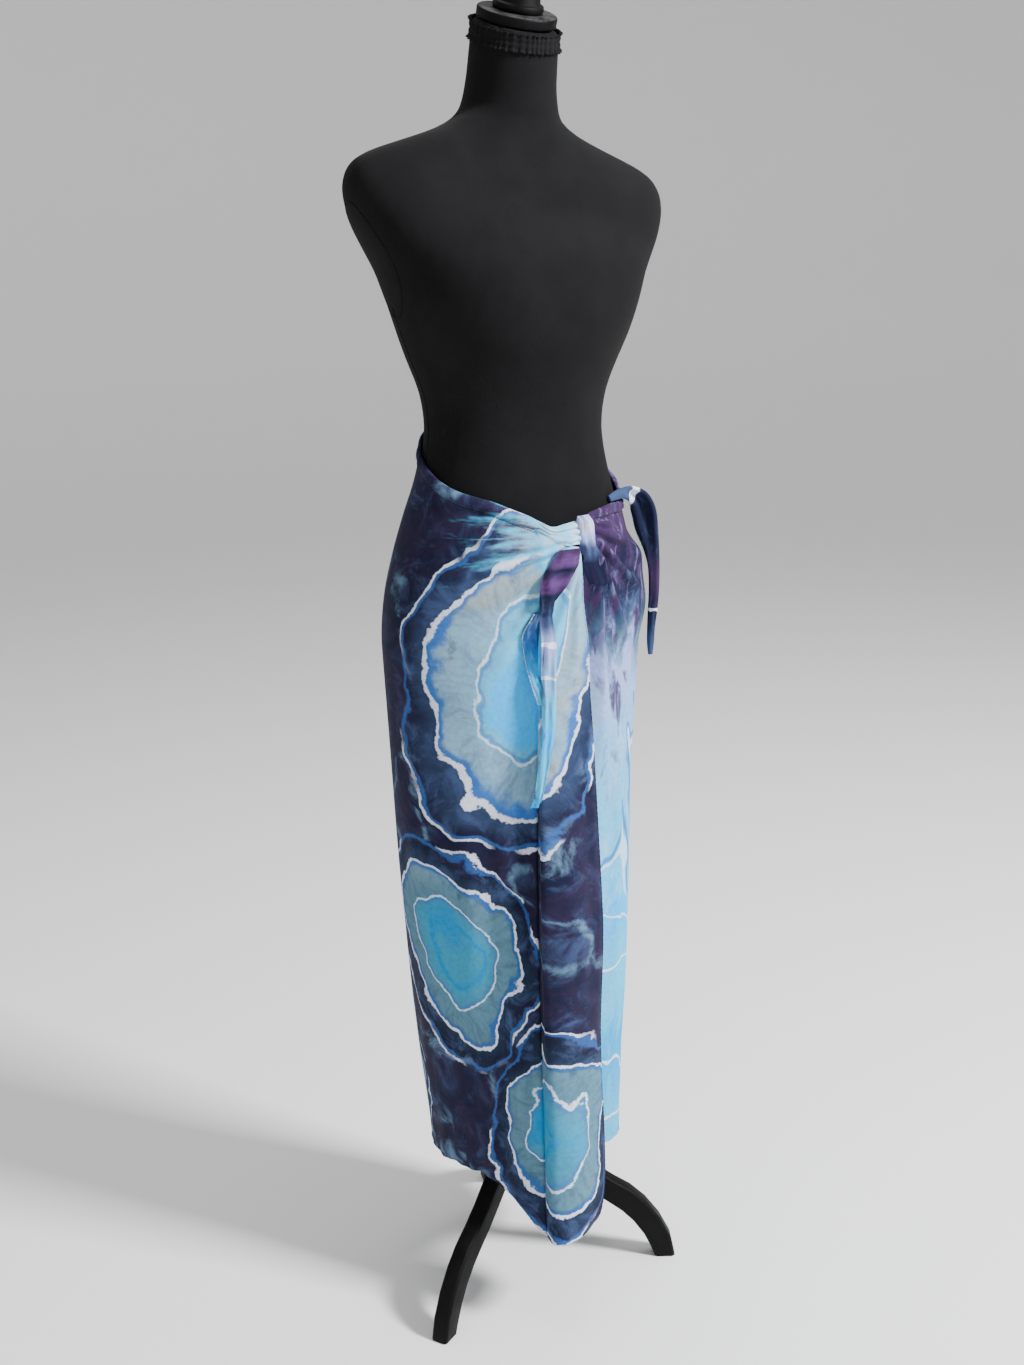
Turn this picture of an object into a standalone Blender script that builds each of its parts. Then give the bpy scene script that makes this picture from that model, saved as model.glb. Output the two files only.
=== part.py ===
"""Sarong of one cloth, wrapped and knotted at the front of a dress form on a wooden tripod.

Metres, +Z up. The form faces -Y and the wearer's left is +X. Azimuths are in degrees about the pole,
0 at the front, 90 at the wearer's left, 180 at the back. The cloth is followed from its hidden edge
under the front lap, round the wearer's left, the back and the wearer's right, and past 360 to its free edge.
"""

import math

import bpy
from mathutils import Matrix, Vector

GAP = 0.0003
CLOTH = 0.0015
CLING = 0.0013
LAYER = CLOTH + 0.0010
SEAM = 0.21
TURN = 360.0

FORM_BLACK = (0.012, 0.012, 0.013)
WOOD_BLACK = (0.010, 0.010, 0.011)
POLE_BLACK = (0.014, 0.014, 0.015)
NAVY = (0.026, 0.034, 0.094)
PURPLE = (0.060, 0.028, 0.100)
AQUA = (0.330, 0.680, 0.790)
LAP_PALE = (0.230, 0.480, 0.680)
CLOTH_ROUGH = 0.88
JERSEY_ROUGH = 0.93
WOOD_ROUGH = 0.43
POLE_ROUGH = 0.35
CREASE_ANGLE = 40.0

# The dress form: height, half width, depth to the front and to the back, squareness of the section.
FORM_ROWS = [
    ("base", 0.765, 0.118, 0.072, 0.082, 2.1),
    ("base edge", 0.775, 0.134, 0.083, 0.096, 2.1),
    ("seat", 0.800, 0.147, 0.094, 0.110, 2.1),
    ("low hip", 0.845, 0.158, 0.103, 0.118, 2.1),
    ("hip", 0.890, 0.162, 0.106, 0.119, 2.1),
    ("high hip", 0.940, 0.158, 0.105, 0.115, 2.1),
    ("belly", 0.990, 0.148, 0.102, 0.106, 2.1),
    ("upper belly", 1.040, 0.136, 0.098, 0.096, 2.1),
    ("under waist", 1.090, 0.122, 0.090, 0.084, 2.1),
    ("waist", 1.140, 0.113, 0.084, 0.079, 2.1),
    ("ribs", 1.185, 0.118, 0.090, 0.083, 2.1),
    ("upper ribs", 1.222, 0.133, 0.101, 0.091, 2.1),
    ("under bust", 1.256, 0.145, 0.119, 0.097, 2.15),
    ("bust", 1.290, 0.156, 0.126, 0.100, 2.2),
    ("over bust", 1.325, 0.168, 0.116, 0.100, 2.3),
    ("armhole", 1.350, 0.184, 0.102, 0.096, 2.4),
    ("upper arm", 1.376, 0.199, 0.089, 0.090, 2.4),
    ("shoulder", 1.402, 0.2065, 0.078, 0.082, 2.4),
    ("shoulder end", 1.422, 0.2055, 0.068, 0.074, 2.3),
    ("shoulder cap", 1.438, 0.195, 0.059, 0.068, 2.2),
    ("shoulder top", 1.450, 0.172, 0.054, 0.065, 2.1),
    ("shoulder slope", 1.464, 0.130, 0.051, 0.064, 2.0),
    ("neck slope", 1.478, 0.089, 0.050, 0.063, 2.0),
    ("neck base", 1.492, 0.0640, 0.050, 0.062, 2.0),
]
# The neck leans forward under a slanted top: height on its axis, radius, lean of the axis, tilt in degrees.
NECK_ROWS = [
    ("neck root", 1.506, 0.0565, 0.0030, 4.0),
    ("low neck", 1.528, 0.0527, -0.0010, 10.0),
    ("mid neck", 1.555, 0.0515, -0.0060, 16.0),
    ("neck top", 1.595, 0.0500, -0.0130, 20.0),
]
# The shoulders slope a little to the wearer's left and sit a little to the wearer's right.
SHOULDER_SLOPE = 0.040
SHOULDER_SHIFT = -0.0040
SLOPE_FROM = 1.300
SLOPE_FULL = 1.400
FORM_SIDES = 36
# Between these heights the form gets a ring more between its rows, where the cloth clings to its hollow.
WAIST_LOW = 0.940
WAIST_HIGH = 1.260

CAP_RADIUS = 0.0465
CAP_THICK = 0.013
CAP_EDGE = 0.003
BAND_LOW = 1.5730
BAND_HIGH = 1.5925
BAND_THICK = 0.0022
# The turned knob on the cap: height above the cap, radius.
KNOB_ROWS = [
    ("foot", 0.0, 0.0285),
    ("foot edge", 0.004, 0.0295),
    ("foot top", 0.008, 0.0285),
    ("step", 0.0095, 0.0245),
    ("bell", 0.016, 0.0235),
    ("bell shoulder", 0.023, 0.0185),
    ("waist", 0.030, 0.0110),
    ("collar", 0.033, 0.0135),
    ("collar top", 0.036, 0.0130),
    ("ball start", 0.039, 0.0110),
    ("ball low", 0.046, 0.0180),
    ("ball middle", 0.055, 0.0205),
    ("ball high", 0.064, 0.0165),
    ("ball top", 0.070, 0.0080),
]
KNOB_SIDES = 20

POLE_RADIUS = 0.0125
POLE_SIDES = 16
HUB_SIDES = 20
# The hub: height, radius.
HUB_ROWS = [
    ("low", 0.138, 0.0200),
    ("low edge", 0.142, 0.0265),
    ("high edge", 0.212, 0.0265),
    ("collar", 0.216, 0.0190),
    ("top", 0.232, 0.0180),
]
LEG_AZIMUTHS = (("leg_right", -59.6), ("leg_left", 61.0), ("leg_back", 163.0))
LEG_HALF = 0.0115
LEG_CORNER = 0.0030
# One curved leg in its own upright plane: distance from the pole and height, along its top and its underside.
LEG_ROWS = [
    ("root", 0.0268, 0.197, 0.0268, 0.156),
    ("shoulder", 0.051, 0.182, 0.047, 0.143),
    ("upper", 0.077, 0.160, 0.070, 0.124),
    ("middle", 0.104, 0.136, 0.096, 0.103),
    ("knee", 0.129, 0.118, 0.120, 0.086),
    ("lower", 0.152, 0.104, 0.140, 0.071),
    ("shin", 0.173, 0.085, 0.156, 0.055),
    ("ankle", 0.193, 0.059, 0.171, 0.034),
    ("heel", 0.2080, 0.030, 0.181, 0.014),
    ("foot", 0.2145, 0.0, 0.1865, 0.0),
]

# The cloth's meridians: azimuth, top edge, hem, ease over the hip, radius at the knee and at the hem.
CLOTH_ROWS = [
    ("hidden edge", -40.0, 1.030, 0.178, 0.000, 0.106, 0.086),
    ("hidden lap", -14.0, 1.028, 0.184, 0.000, 0.108, 0.088),
    ("under knot", 2.0, 1.028, 0.192, 0.001, 0.112, 0.092),
    ("knot side", 20.0, 1.0425, 0.202, 0.003, 0.124, 0.104),
    ("left front", 46.0, 1.0500, 0.200, 0.004, 0.136, 0.125),
    ("left side", 63.0, 1.0510, 0.186, 0.004, 0.139, 0.134),
    ("left hip", 80.0, 1.0740, 0.182, 0.002, 0.142, 0.140),
    ("left back", 105.0, 1.1140, 0.180, 0.002, 0.140, 0.137),
    ("back left", 140.0, 1.144, 0.174, 0.001, 0.136, 0.135),
    ("back", 180.0, 1.153, 0.170, 0.001, 0.130, 0.132),
    ("back right", 218.0, 1.149, 0.172, 0.002, 0.136, 0.124),
    ("right back", 243.0, 1.136, 0.180, 0.007, 0.145, 0.112),
    ("right hip", 268.0, 1.108, 0.187, 0.006, 0.141, 0.106),
    ("right thigh", 294.0, 1.0795, 0.195, 0.001, 0.125, 0.110),
    ("hollow", 316.0, 1.0665, 0.190, 0.000, 0.116, 0.118),
    ("front", 331.0, 1.0545, 0.165, 0.001, 0.117, 0.134),
    ("pleat root", 340.0, 1.0475, 0.137, 0.003, 0.121, 0.152),
    ("pleat crest", 348.0, 1.0385, 0.130, 0.008, 0.142, 0.173),
    ("lap", 362.0, 1.0150, 0.137, 0.008, 0.142, 0.164),
    ("lap corner", 374.0, 1.0080, 0.163, 0.007, 0.137, 0.153),
    ("lap edge", 382.0, 1.0060, 0.215, 0.007, 0.132, 0.143),
]
EASE_FROM = 1.110
EASE_FULL = 0.960
HIP_LEVEL = 0.880
KNEE_LEVEL = 0.500
HEM_LEVEL = 0.150
SECOND_LAYER_FROM = 296.0
SECOND_LAYER_FULL = 316.0
# Where one stretch of the cloth runs into the next, where its columns stand closer for pleats, and how far
# down the cloth each of its rows lies.
UNDER_START = -40.0
UNDER_PLEATS = (18.0, 78.0)
UNDER_END = 105.0
BACK_END = 296.0
LAP_PLEAT = (338.0, 350.0)
LAP_LAST = 382.0
CLOTH_SHARES = [0.0, 0.008, 0.017, 0.035, 0.06, 0.09, 0.12, 0.16, 0.205, 0.25]
CLOTH_SHARES += [0.30, 0.37, 0.46, 0.56, 0.67, 0.78, 0.88, 0.95, 1.0]
# The free edge of the front lap: height, azimuth past 360.
LAP_EDGE_ROWS = [
    ("shin", 0.150, 19.6),
    ("knee", 0.500, 15.6),
    ("thigh", 0.767, 13.2),
    ("hip", 0.896, 12.4),
    ("knot", 1.010, 13.4),
]
# Soft folds: start and end (azimuth, height), half width, and how far each stands out.
FOLD_ROWS = [
    ("knot pleat", 24.0, 0.995, 28.0, 0.700, 0.0085, 0.0110),
    ("knot fan low", 28.0, 1.026, 43.0, 0.940, 0.0080, 0.0055),
    ("knot fan middle", 31.0, 1.034, 70.0, 0.965, 0.0085, 0.0065),
    ("hip puff", 59.0, 1.005, 66.0, 0.870, 0.0300, 0.0115),
    ("lap pull high", 350.0, 1.018, 306.0, 1.012, 0.0120, 0.0030),
    ("lap pull low", 350.0, 1.000, 316.0, 0.920, 0.0150, 0.0032),
    ("back fold", 172.0, 0.180, 176.0, 0.560, 0.0220, 0.0090),
    ("back left fold", 140.0, 0.180, 146.0, 0.480, 0.0200, 0.0080),
    ("back right fold", 205.0, 0.180, 200.0, 0.500, 0.0200, 0.0080),
]
FOLD_SCALE = 0.135
# The gathers beside the knot: azimuth, middle height, half height, thickness.
GATHER_ROWS = [
    ("start", 345.0, 1.0365, 0.0072, 0.0030),
    ("spread", 354.0, 1.0270, 0.0085, 0.0042),
    ("bundle", 363.0, 1.0250, 0.0122, 0.0055),
    ("end", 371.5, 1.0255, 0.0138, 0.0062),
]
GATHER_PLEATS = 3
GATHER_DIP = 0.28
GATHER_END = 371.5
BAND_END = 345.5
BAND_LIFT = 0.0007
# The share of a band's, the wrap's and a tail's thickness that its long edges keep.
BAND_EDGE = 0.45
WRAP_EDGE = 0.35
TAIL_EDGE = 0.50
# The top band and the under lap's roll: half height, reach over the cloth's edge, thickness.
TOP_BAND = (0.0072, 0.0012, 0.0030)
LAP_ROLL = (0.0062, 0.0014, 0.0055)
ROLL_START = 27.0
# The turn of cloth over the knot: height, middle azimuth, half width, radius of its inner face, thickness.
WRAP_ROWS = [
    ("top", 1.0455, 17.2, 0.0080, 0.1120, 0.0040),
    ("over", 1.0420, 17.2, 0.0094, 0.1120, 0.0075),
    ("crown", 1.0345, 17.6, 0.0104, 0.1118, 0.0092),
    ("middle", 1.0240, 18.2, 0.0108, 0.1118, 0.0095),
    ("low", 1.0120, 19.2, 0.0108, 0.1130, 0.0088),
    ("foot", 1.0010, 20.6, 0.0106, 0.1180, 0.0060),
    ("end", 0.9920, 22.0, 0.0098, 0.1235, 0.0030),
]
# The left tie: azimuth, height, half width, stand off from the front lap, thickness.
TAIL_LEFT_ROWS = [
    ("root", 2.6, 1.0095, 0.0140, 0.0004, 0.0034),
    ("corner", -0.6, 1.0000, 0.0172, 0.0008, 0.0036),
    ("wide", -5.2, 0.9850, 0.0185, 0.0022, 0.0036),
    ("turn", -9.4, 0.9690, 0.0148, 0.0026, 0.0034),
    ("narrow", -12.6, 0.9560, 0.0098, 0.0030, 0.0030),
    ("strap top", -13.6, 0.9450, 0.0078, 0.0030, 0.0028),
    ("strap high", -13.6, 0.9030, 0.0078, 0.0030, 0.0028),
    ("strap middle", -13.4, 0.8540, 0.0078, 0.0030, 0.0028),
    ("strap low", -13.9, 0.8050, 0.0072, 0.0030, 0.0028),
    ("strap bend", -16.1, 0.7660, 0.0060, 0.0030, 0.0030),
    ("strap end", -19.4, 0.7170, 0.0044, 0.0026, 0.0034),
    ("tied end", -20.5, 0.7020, 0.0054, 0.0020, 0.0048),
]
# What hangs on the front lap takes its width at this radius and clears the lap this far to each side.
LAP_RADIUS = 0.115
LAP_REACH = 5.0
TAIL_FOLD_ROWS = [
    ("start", -18.4, 0.9380, 0.0030, 0.0006, 0.0018),
    ("flare", -21.8, 0.9130, 0.0080, 0.0006, 0.0018),
    ("wide", -21.4, 0.8900, 0.0078, 0.0006, 0.0018),
    ("fall", -19.6, 0.8600, 0.0060, 0.0006, 0.0018),
    ("tip", -17.4, 0.8300, 0.0030, 0.0006, 0.0018),
]
# The right tie, seen along the view: distance out, distance back, height, half width, half depth.
VIEW = -30.0
TAIL_SIDES = 12
TAIL_RIGHT_ROWS = [
    ("root", 0.1150, -0.0200, 1.0562, 0.0040, 0.0022),
    ("rise", 0.1235, -0.0110, 1.0590, 0.0056, 0.0034),
    ("climb", 0.1335, -0.0030, 1.0612, 0.0066, 0.0046),
    ("apex", 0.1455, 0.0030, 1.0600, 0.0084, 0.0058),
    ("shoulder", 0.1560, 0.0060, 1.0520, 0.0108, 0.0066),
    ("bend", 0.1625, 0.0080, 1.0370, 0.0122, 0.0070),
    ("fall", 0.1655, 0.0100, 1.0160, 0.0122, 0.0066),
    ("high", 0.1700, 0.0130, 0.9910, 0.0096, 0.0056),
    ("middle", 0.1735, 0.0160, 0.9650, 0.0074, 0.0046),
    ("low", 0.1740, 0.0170, 0.9340, 0.0066, 0.0042),
    ("waist", 0.1725, 0.0170, 0.9080, 0.0060, 0.0040),
    ("tie", 0.1710, 0.0160, 0.8880, 0.0050, 0.0034),
    ("stub", 0.1705, 0.0150, 0.8700, 0.0046, 0.0030),
    ("end", 0.1705, 0.0150, 0.8540, 0.0030, 0.0020),
]
# The pressed pleat down the front lap: azimuth, the turn it takes to rise, how far it stands, its heights.
PLEAT_AZIMUTH = 343.6
PLEAT_TURN = 2.6
PLEAT_STAND = 0.0065
PLEAT_TOP = 0.955
PLEAT_FULL = 0.880
PLEAT_LOW = 0.560
PLEAT_END = 0.380


def hermite(table, x, column):
    """A smooth curve through the rows of a table: x is matched to the first number, column counts from it."""
    xs = [row[1] for row in table]
    ys = [row[1 + column] for row in table]
    if x <= xs[0]:
        return ys[0]
    if x >= xs[-1]:
        return ys[-1]
    i = max(k for k in range(len(xs) - 1) if xs[k] <= x)

    def slope(k):
        low, high = max(k - 1, 0), min(k + 1, len(xs) - 1)
        return (ys[high] - ys[low]) / (xs[high] - xs[low])

    step = xs[i + 1] - xs[i]
    t = (x - xs[i]) / step
    return (
        ys[i] * (1 + 2 * t) * (1 - t) ** 2
        + ys[i + 1] * (3 - 2 * t) * t**2
        + step * (slope(i) * t * (1 - t) ** 2 - slope(i + 1) * t**2 * (1 - t))
    )


def ease_step(start, full, x):
    """0 up to start, 1 from full on, and smooth between them; start may be the higher of the two."""
    t = min(max((x - start) / (full - start), 0.0), 1.0)
    return t * t * (3 - 2 * t)


def radial(azimuth, radius, height):
    a = math.radians(azimuth)
    return Vector((radius * math.sin(a), -radius * math.cos(a), height))


def form_radius(azimuth, height):
    """Radius of the dress form's section at an azimuth, below the neck."""
    half, front, back, power = (hermite(FORM_ROWS, height, c) for c in (1, 2, 3, 4))
    a = math.radians(azimuth)
    across, along = abs(math.sin(a)), math.cos(a)
    depth = front if along > 0 else back
    return ((across / half) ** power + (abs(along) / depth) ** power) ** (-1 / power)


def fold_lift(azimuth, height):
    """How far the folds lift the cloth at a place, a rounded ridge along each fold's line."""
    lift = 0.0
    for _, a0, z0, a1, z1, half_width, stand in FOLD_ROWS:
        start = Vector((math.radians(a0) * FOLD_SCALE, z0))
        line = Vector((math.radians(a1) * FOLD_SCALE, z1)) - start
        here = Vector((math.radians(azimuth) * FOLD_SCALE, height)) - start
        t = here.dot(line) / line.length_squared
        across = (here - line * min(max(t, 0.0), 1.0)).length
        fade = ease_step(-0.05, 0.12, t) * (1 - ease_step(0.55, 1.05, t))
        widen = half_width * (1 + 0.8 * min(max(t, 0.0), 1.0))
        lift += stand * fade * math.exp(-((across / widen) ** 2))
    return lift


def cloth_radius(azimuth, height):
    """Radius of the cloth's inner face: it clings to the form down to the hip and hangs free below it."""
    ease, knee, hem = (hermite(CLOTH_ROWS, azimuth, c) for c in (3, 4, 5))
    layer = LAYER * ease_step(SECOND_LAYER_FROM, SECOND_LAYER_FULL, azimuth)
    on_form = form_radius(azimuth, max(height, HIP_LEVEL)) + CLING + layer
    drop = ease_step(EASE_FROM, EASE_FULL, height)
    radius = on_form + ease * drop
    if height < HIP_LEVEL:
        levels = [
            ("", HEM_LEVEL - 0.05, hem + (hem - knee) * 0.10),
            ("", HEM_LEVEL, hem),
            ("", KNEE_LEVEL, knee),
            ("", HIP_LEVEL, radius),
            ("", HIP_LEVEL + 0.10, radius),
        ]
        radius = hermite(levels, height, 1)
    pleat = ease_step(PLEAT_AZIMUTH, PLEAT_AZIMUTH + PLEAT_TURN, azimuth)
    pleat *= ease_step(PLEAT_TOP, PLEAT_FULL, height) * ease_step(PLEAT_END, PLEAT_LOW, height)
    return radius + PLEAT_STAND * pleat + fold_lift(azimuth, height)


def cloth_height(azimuth, share):
    top, hem = hermite(CLOTH_ROWS, azimuth, 1), hermite(CLOTH_ROWS, azimuth, 2)
    return top + (hem - top) * share


def cloth_normal(azimuth, height):
    """Outward normal of the cloth, from its neighbours round and down."""
    turn, step = 0.6, 0.003

    def near(a, z):
        return radial(a, cloth_radius(a, z), z)

    round_it = near(azimuth + turn, height) - near(azimuth - turn, height)
    down_it = near(azimuth, height - step) - near(azimuth, height + step)
    return down_it.cross(round_it).normalized()


def cloth_skin(azimuth, height, out):
    """A point on the cloth's inner face, moved out square to it."""
    return radial(azimuth, cloth_radius(azimuth, height), height) + cloth_normal(azimuth, height) * out


def new_object(name, points, faces, colour, roughness, smooth=True):
    """One closed named solid with its own material."""
    mesh = bpy.data.meshes.new(name)
    mesh.from_pydata([tuple(p) for p in points], [], faces)
    mesh.validate()
    item = bpy.data.objects.new(name, mesh)
    bpy.context.scene.collection.objects.link(item)
    finish = bpy.data.materials.new(name)
    finish.use_nodes = True
    shader = finish.node_tree.nodes["Principled BSDF"]
    shader.inputs["Base Color"].default_value = (*colour, 1.0)
    shader.inputs["Roughness"].default_value = roughness
    shader.inputs["Metallic"].default_value = 0.0
    mesh.materials.append(finish)
    if smooth:
        mesh.shade_smooth()
        mesh.set_sharp_from_angle(angle=math.radians(CREASE_ANGLE))
    return item


def loft(name, rings, colour, roughness, smooth=True):
    """A closed solid through rings of equal length, each going round anticlockwise seen from its high end."""
    count = len(rings[0])
    points = [p for ring in rings for p in ring]
    faces = []
    for r in range(len(rings) - 1):
        for i in range(count):
            j = (i + 1) % count
            faces.append((r * count + i, r * count + j, (r + 1) * count + j, (r + 1) * count + i))
    for ring, flip in ((rings[0], True), (rings[-1], False)):
        middle = len(points)
        points.append(sum(ring, Vector()) / count)
        first = 0 if flip else (len(rings) - 1) * count
        for i in range(count):
            j = (i + 1) % count
            face = (first + i, first + j, middle)
            faces.append(tuple(reversed(face)) if flip else face)
    return new_object(name, points, faces, colour, roughness, smooth)


def wall(name, inner, outer, colour, roughness):
    """A cloth wall between two grids of points, rows from the top down, columns round the body."""
    rows, columns = len(inner), len(inner[0])
    points = [p for row in inner for p in row] + [p for row in outer for p in row]
    skin = rows * columns

    def at(row, column, side):
        return side * skin + row * columns + column

    faces = []
    for r in range(rows - 1):
        for c in range(columns - 1):
            faces.append((at(r, c, 0), at(r, c + 1, 0), at(r + 1, c + 1, 0), at(r + 1, c, 0)))
            faces.append((at(r, c, 1), at(r + 1, c, 1), at(r + 1, c + 1, 1), at(r, c + 1, 1)))
    for c in range(columns - 1):
        last = rows - 1
        faces.append((at(0, c, 0), at(0, c, 1), at(0, c + 1, 1), at(0, c + 1, 0)))
        faces.append((at(last, c + 1, 0), at(last, c + 1, 1), at(last, c, 1), at(last, c, 0)))
    for r in range(rows - 1):
        end = columns - 1
        faces.append((at(r + 1, 0, 0), at(r + 1, 0, 1), at(r, 0, 1), at(r, 0, 0)))
        faces.append((at(r, end, 0), at(r, end, 1), at(r + 1, end, 1), at(r + 1, end, 0)))
    return new_object(name, points, faces, colour, roughness)


def section_ring(height, sides):
    """One level ring of the form below the neck, points spread evenly over its outline."""
    half, front, back, power = (hermite(FORM_ROWS, height, c) for c in (1, 2, 3, 4))
    askew = ease_step(SLOPE_FROM, SLOPE_FULL, height)
    ring = []
    for i in range(sides):
        a = math.tau * i / sides
        across, along = math.sin(a), math.cos(a)
        depth = front if along > 0 else back
        x = math.copysign(half * abs(across) ** (2 / power), across)
        y = -math.copysign(depth * abs(along) ** (2 / power), along)
        shift = SHOULDER_SHIFT * askew * abs(x) / half
        ring.append(Vector((x + shift, y, height - SHOULDER_SLOPE * askew * x)))
    return ring


def neck_axis(height):
    """Centre of the neck at a height, its radius there and the slant of its section in degrees."""
    radius, lean, tilt = (hermite(NECK_ROWS, height, c) for c in (1, 2, 3))
    return Vector((0, lean, height)), radius, tilt


def tilted_ring(centre, radius, tilt, sides, rise=0.0):
    """A round ring slanted forward by tilt, moved along its own axis by rise."""
    turn = Matrix.Rotation(math.radians(tilt), 3, "X")
    ring = []
    for i in range(sides):
        a = math.tau * i / sides
        ring.append(centre + turn @ Vector((radius * math.sin(a), -radius * math.cos(a), rise)))
    return ring


def make_form():
    levels = [row[1] for row in FORM_ROWS]
    between = [(a + b) / 2 for a, b in zip(levels, levels[1:]) if a >= WAIST_LOW and b <= WAIST_HIGH]
    rings = [section_ring(height, FORM_SIDES) for height in sorted(levels + between)]
    low, high = NECK_ROWS[0][1], NECK_ROWS[-1][1]
    steps = 6
    for k in range(steps + 1):
        centre, radius, tilt = neck_axis(low + (high - low) * k / steps)
        rings.append(tilted_ring(centre, radius, tilt, FORM_SIDES))
    return loft("form_body", rings, FORM_BLACK, JERSEY_ROUGH)


def hoop(name, rings, colour, roughness):
    """A closed band: its rings run up the inside and then down the outside."""
    sides = len(rings[0])
    points = [p for ring in rings for p in ring]
    faces = []
    for r in range(len(rings)):
        after = (r + 1) % len(rings)
        for i in range(sides):
            j = (i + 1) % sides
            faces.append((r * sides + i, after * sides + i, after * sides + j, r * sides + j))
    return new_object(name, points, faces, colour, roughness)


def make_neck_trim():
    """The gathered band round the neck, the wooden cap on it and the turned knob."""
    inside, outside = [], []
    levels = (0.0, 0.5, 1.0)
    for share in levels:
        centre, radius, tilt = neck_axis(BAND_LOW + (BAND_HIGH - BAND_LOW) * share)
        bulge = 1.0 if share == 0.5 else 0.75
        inside.append(tilted_ring(centre, radius + 2 * GAP, tilt, FORM_SIDES))
        outside.append(tilted_ring(centre, radius + 2 * GAP + BAND_THICK * bulge, tilt, FORM_SIDES))
    hoop("neck_band", inside + outside[::-1], FORM_BLACK, JERSEY_ROUGH)

    top, _, tilt = neck_axis(NECK_ROWS[-1][1])
    cap_rows = [
        (GAP, CAP_RADIUS - CAP_EDGE),
        (GAP + CAP_EDGE * 0.7, CAP_RADIUS),
        (GAP + CAP_THICK - CAP_EDGE, CAP_RADIUS),
        (GAP + CAP_THICK, CAP_RADIUS - CAP_EDGE),
    ]
    rings = [tilted_ring(top, radius, tilt, FORM_SIDES, rise) for rise, radius in cap_rows]
    loft("neck_cap", rings, WOOD_BLACK, WOOD_ROUGH)
    base = 2 * GAP + CAP_THICK
    rings = [tilted_ring(top, radius, tilt, KNOB_SIDES, base + rise) for _, rise, radius in KNOB_ROWS]
    loft("neck_knob", rings, WOOD_BLACK, WOOD_ROUGH)


def make_stand():
    """The pole, its hub and three curved legs with flat feet."""
    upright = Vector((0, 0, 0))
    rings = [tilted_ring(upright, radius, 0, HUB_SIDES, height) for _, height, radius in HUB_ROWS]
    loft("hub", rings, WOOD_BLACK, WOOD_ROUGH)
    ends = (HUB_ROWS[-1][1] + GAP, FORM_ROWS[0][1] - GAP)
    rings = [tilted_ring(upright, POLE_RADIUS, 0, POLE_SIDES, height) for height in ends]
    loft("pole", rings, POLE_BLACK, POLE_ROUGH)
    for name, azimuth in LEG_AZIMUTHS:
        rings = []
        side = Vector((math.cos(math.radians(azimuth)), math.sin(math.radians(azimuth)), 0))
        for _, top_r, top_z, under_r, under_z in LEG_ROWS:
            top, under = radial(azimuth, top_r, top_z), radial(azimuth, under_r, under_z)
            rise = (top - under).normalized() * LEG_CORNER
            half, narrow = side * LEG_HALF, side * (LEG_HALF - LEG_CORNER)
            rings.append([
                under + narrow,
                under + half + rise,
                top + half - rise,
                top + narrow,
                top - narrow,
                top - half - rise,
                under - half + rise,
                under - narrow,
            ])
        loft(name, rings, WOOD_BLACK, WOOD_ROUGH, smooth=False)


def lap_edge(share):
    """Azimuth of the front lap's free edge at a share of the way down."""
    azimuth = TURN + LAP_EDGE_ROWS[0][2]
    for _ in range(3):
        azimuth = TURN + hermite(LAP_EDGE_ROWS, cloth_height(azimuth, share), 1)
    return azimuth


def cloth_panel(name, azimuths, shares, ends, colour):
    """One stretch of the wound cloth. The last column may follow a slanting edge given by ends(share)."""
    inner, outer = [], []
    first, last = azimuths[0], azimuths[-1]
    for share in shares:
        stretch = 1.0 if ends is None else (ends(share) - first) / (last - first)
        inner_row, outer_row = [], []
        for azimuth in azimuths:
            here = first + (azimuth - first) * stretch
            height = cloth_height(here, share)
            inner_row.append(cloth_skin(here, height, 0.0))
            outer_row.append(cloth_skin(here, height, CLOTH))
        inner.append(inner_row)
        outer.append(outer_row)
    return wall(name, inner, outer, colour, CLOTH_ROUGH)


def spread(low, high, count):
    return [low + (high - low) * k / (count - 1) for k in range(count)]


def wrap_columns():
    """Azimuths of the columns of the three stretches, a small gap apart where one runs into the next."""
    under = spread(UNDER_START, UNDER_PLEATS[0], 8)[:-1] + spread(*UNDER_PLEATS, 19)[:-1]
    under += spread(UNDER_PLEATS[1], UNDER_END, 5)
    back = spread(UNDER_END + SEAM, BACK_END, 29)
    lap = spread(BACK_END + SEAM, LAP_PLEAT[0], 12)[:-1] + spread(*LAP_PLEAT, 9)[:-1]
    lap += spread(LAP_PLEAT[1], LAP_LAST, 11)
    return under, back, lap


def make_wrap():
    """The wound cloth: the under lap, the stretch round the back, and the front lap over the under lap."""
    under, back, lap = wrap_columns()
    cloth_panel("under_lap", under, CLOTH_SHARES, None, LAP_PALE)
    cloth_panel("back_wrap", back, CLOTH_SHARES, None, NAVY)
    cloth_panel("front_lap", lap, CLOTH_SHARES, lap_edge, NAVY)


def strip_on_cloth(name, stations, sections, ripple, colour):
    """A band on the cloth, shaped by ripple(across): azimuth, middle height, half height, thickness."""
    inner, outer = [], []
    for across in sections:
        inner_row, outer_row = [], []
        for azimuth, middle, half, thick in stations:
            height = middle - across * half
            round_top = math.sqrt(max(1 - across * across, 0.0))
            crown = thick * ripple(across) * (BAND_EDGE + (1 - BAND_EDGE) * round_top)
            inner_row.append(cloth_skin(azimuth, height, CLOTH + BAND_LIFT))
            outer_row.append(cloth_skin(azimuth, height, CLOTH + BAND_LIFT + crown))
        inner.append(inner_row)
        outer.append(outer_row)
    wall(name, inner, outer, colour, CLOTH_ROUGH)


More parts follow.
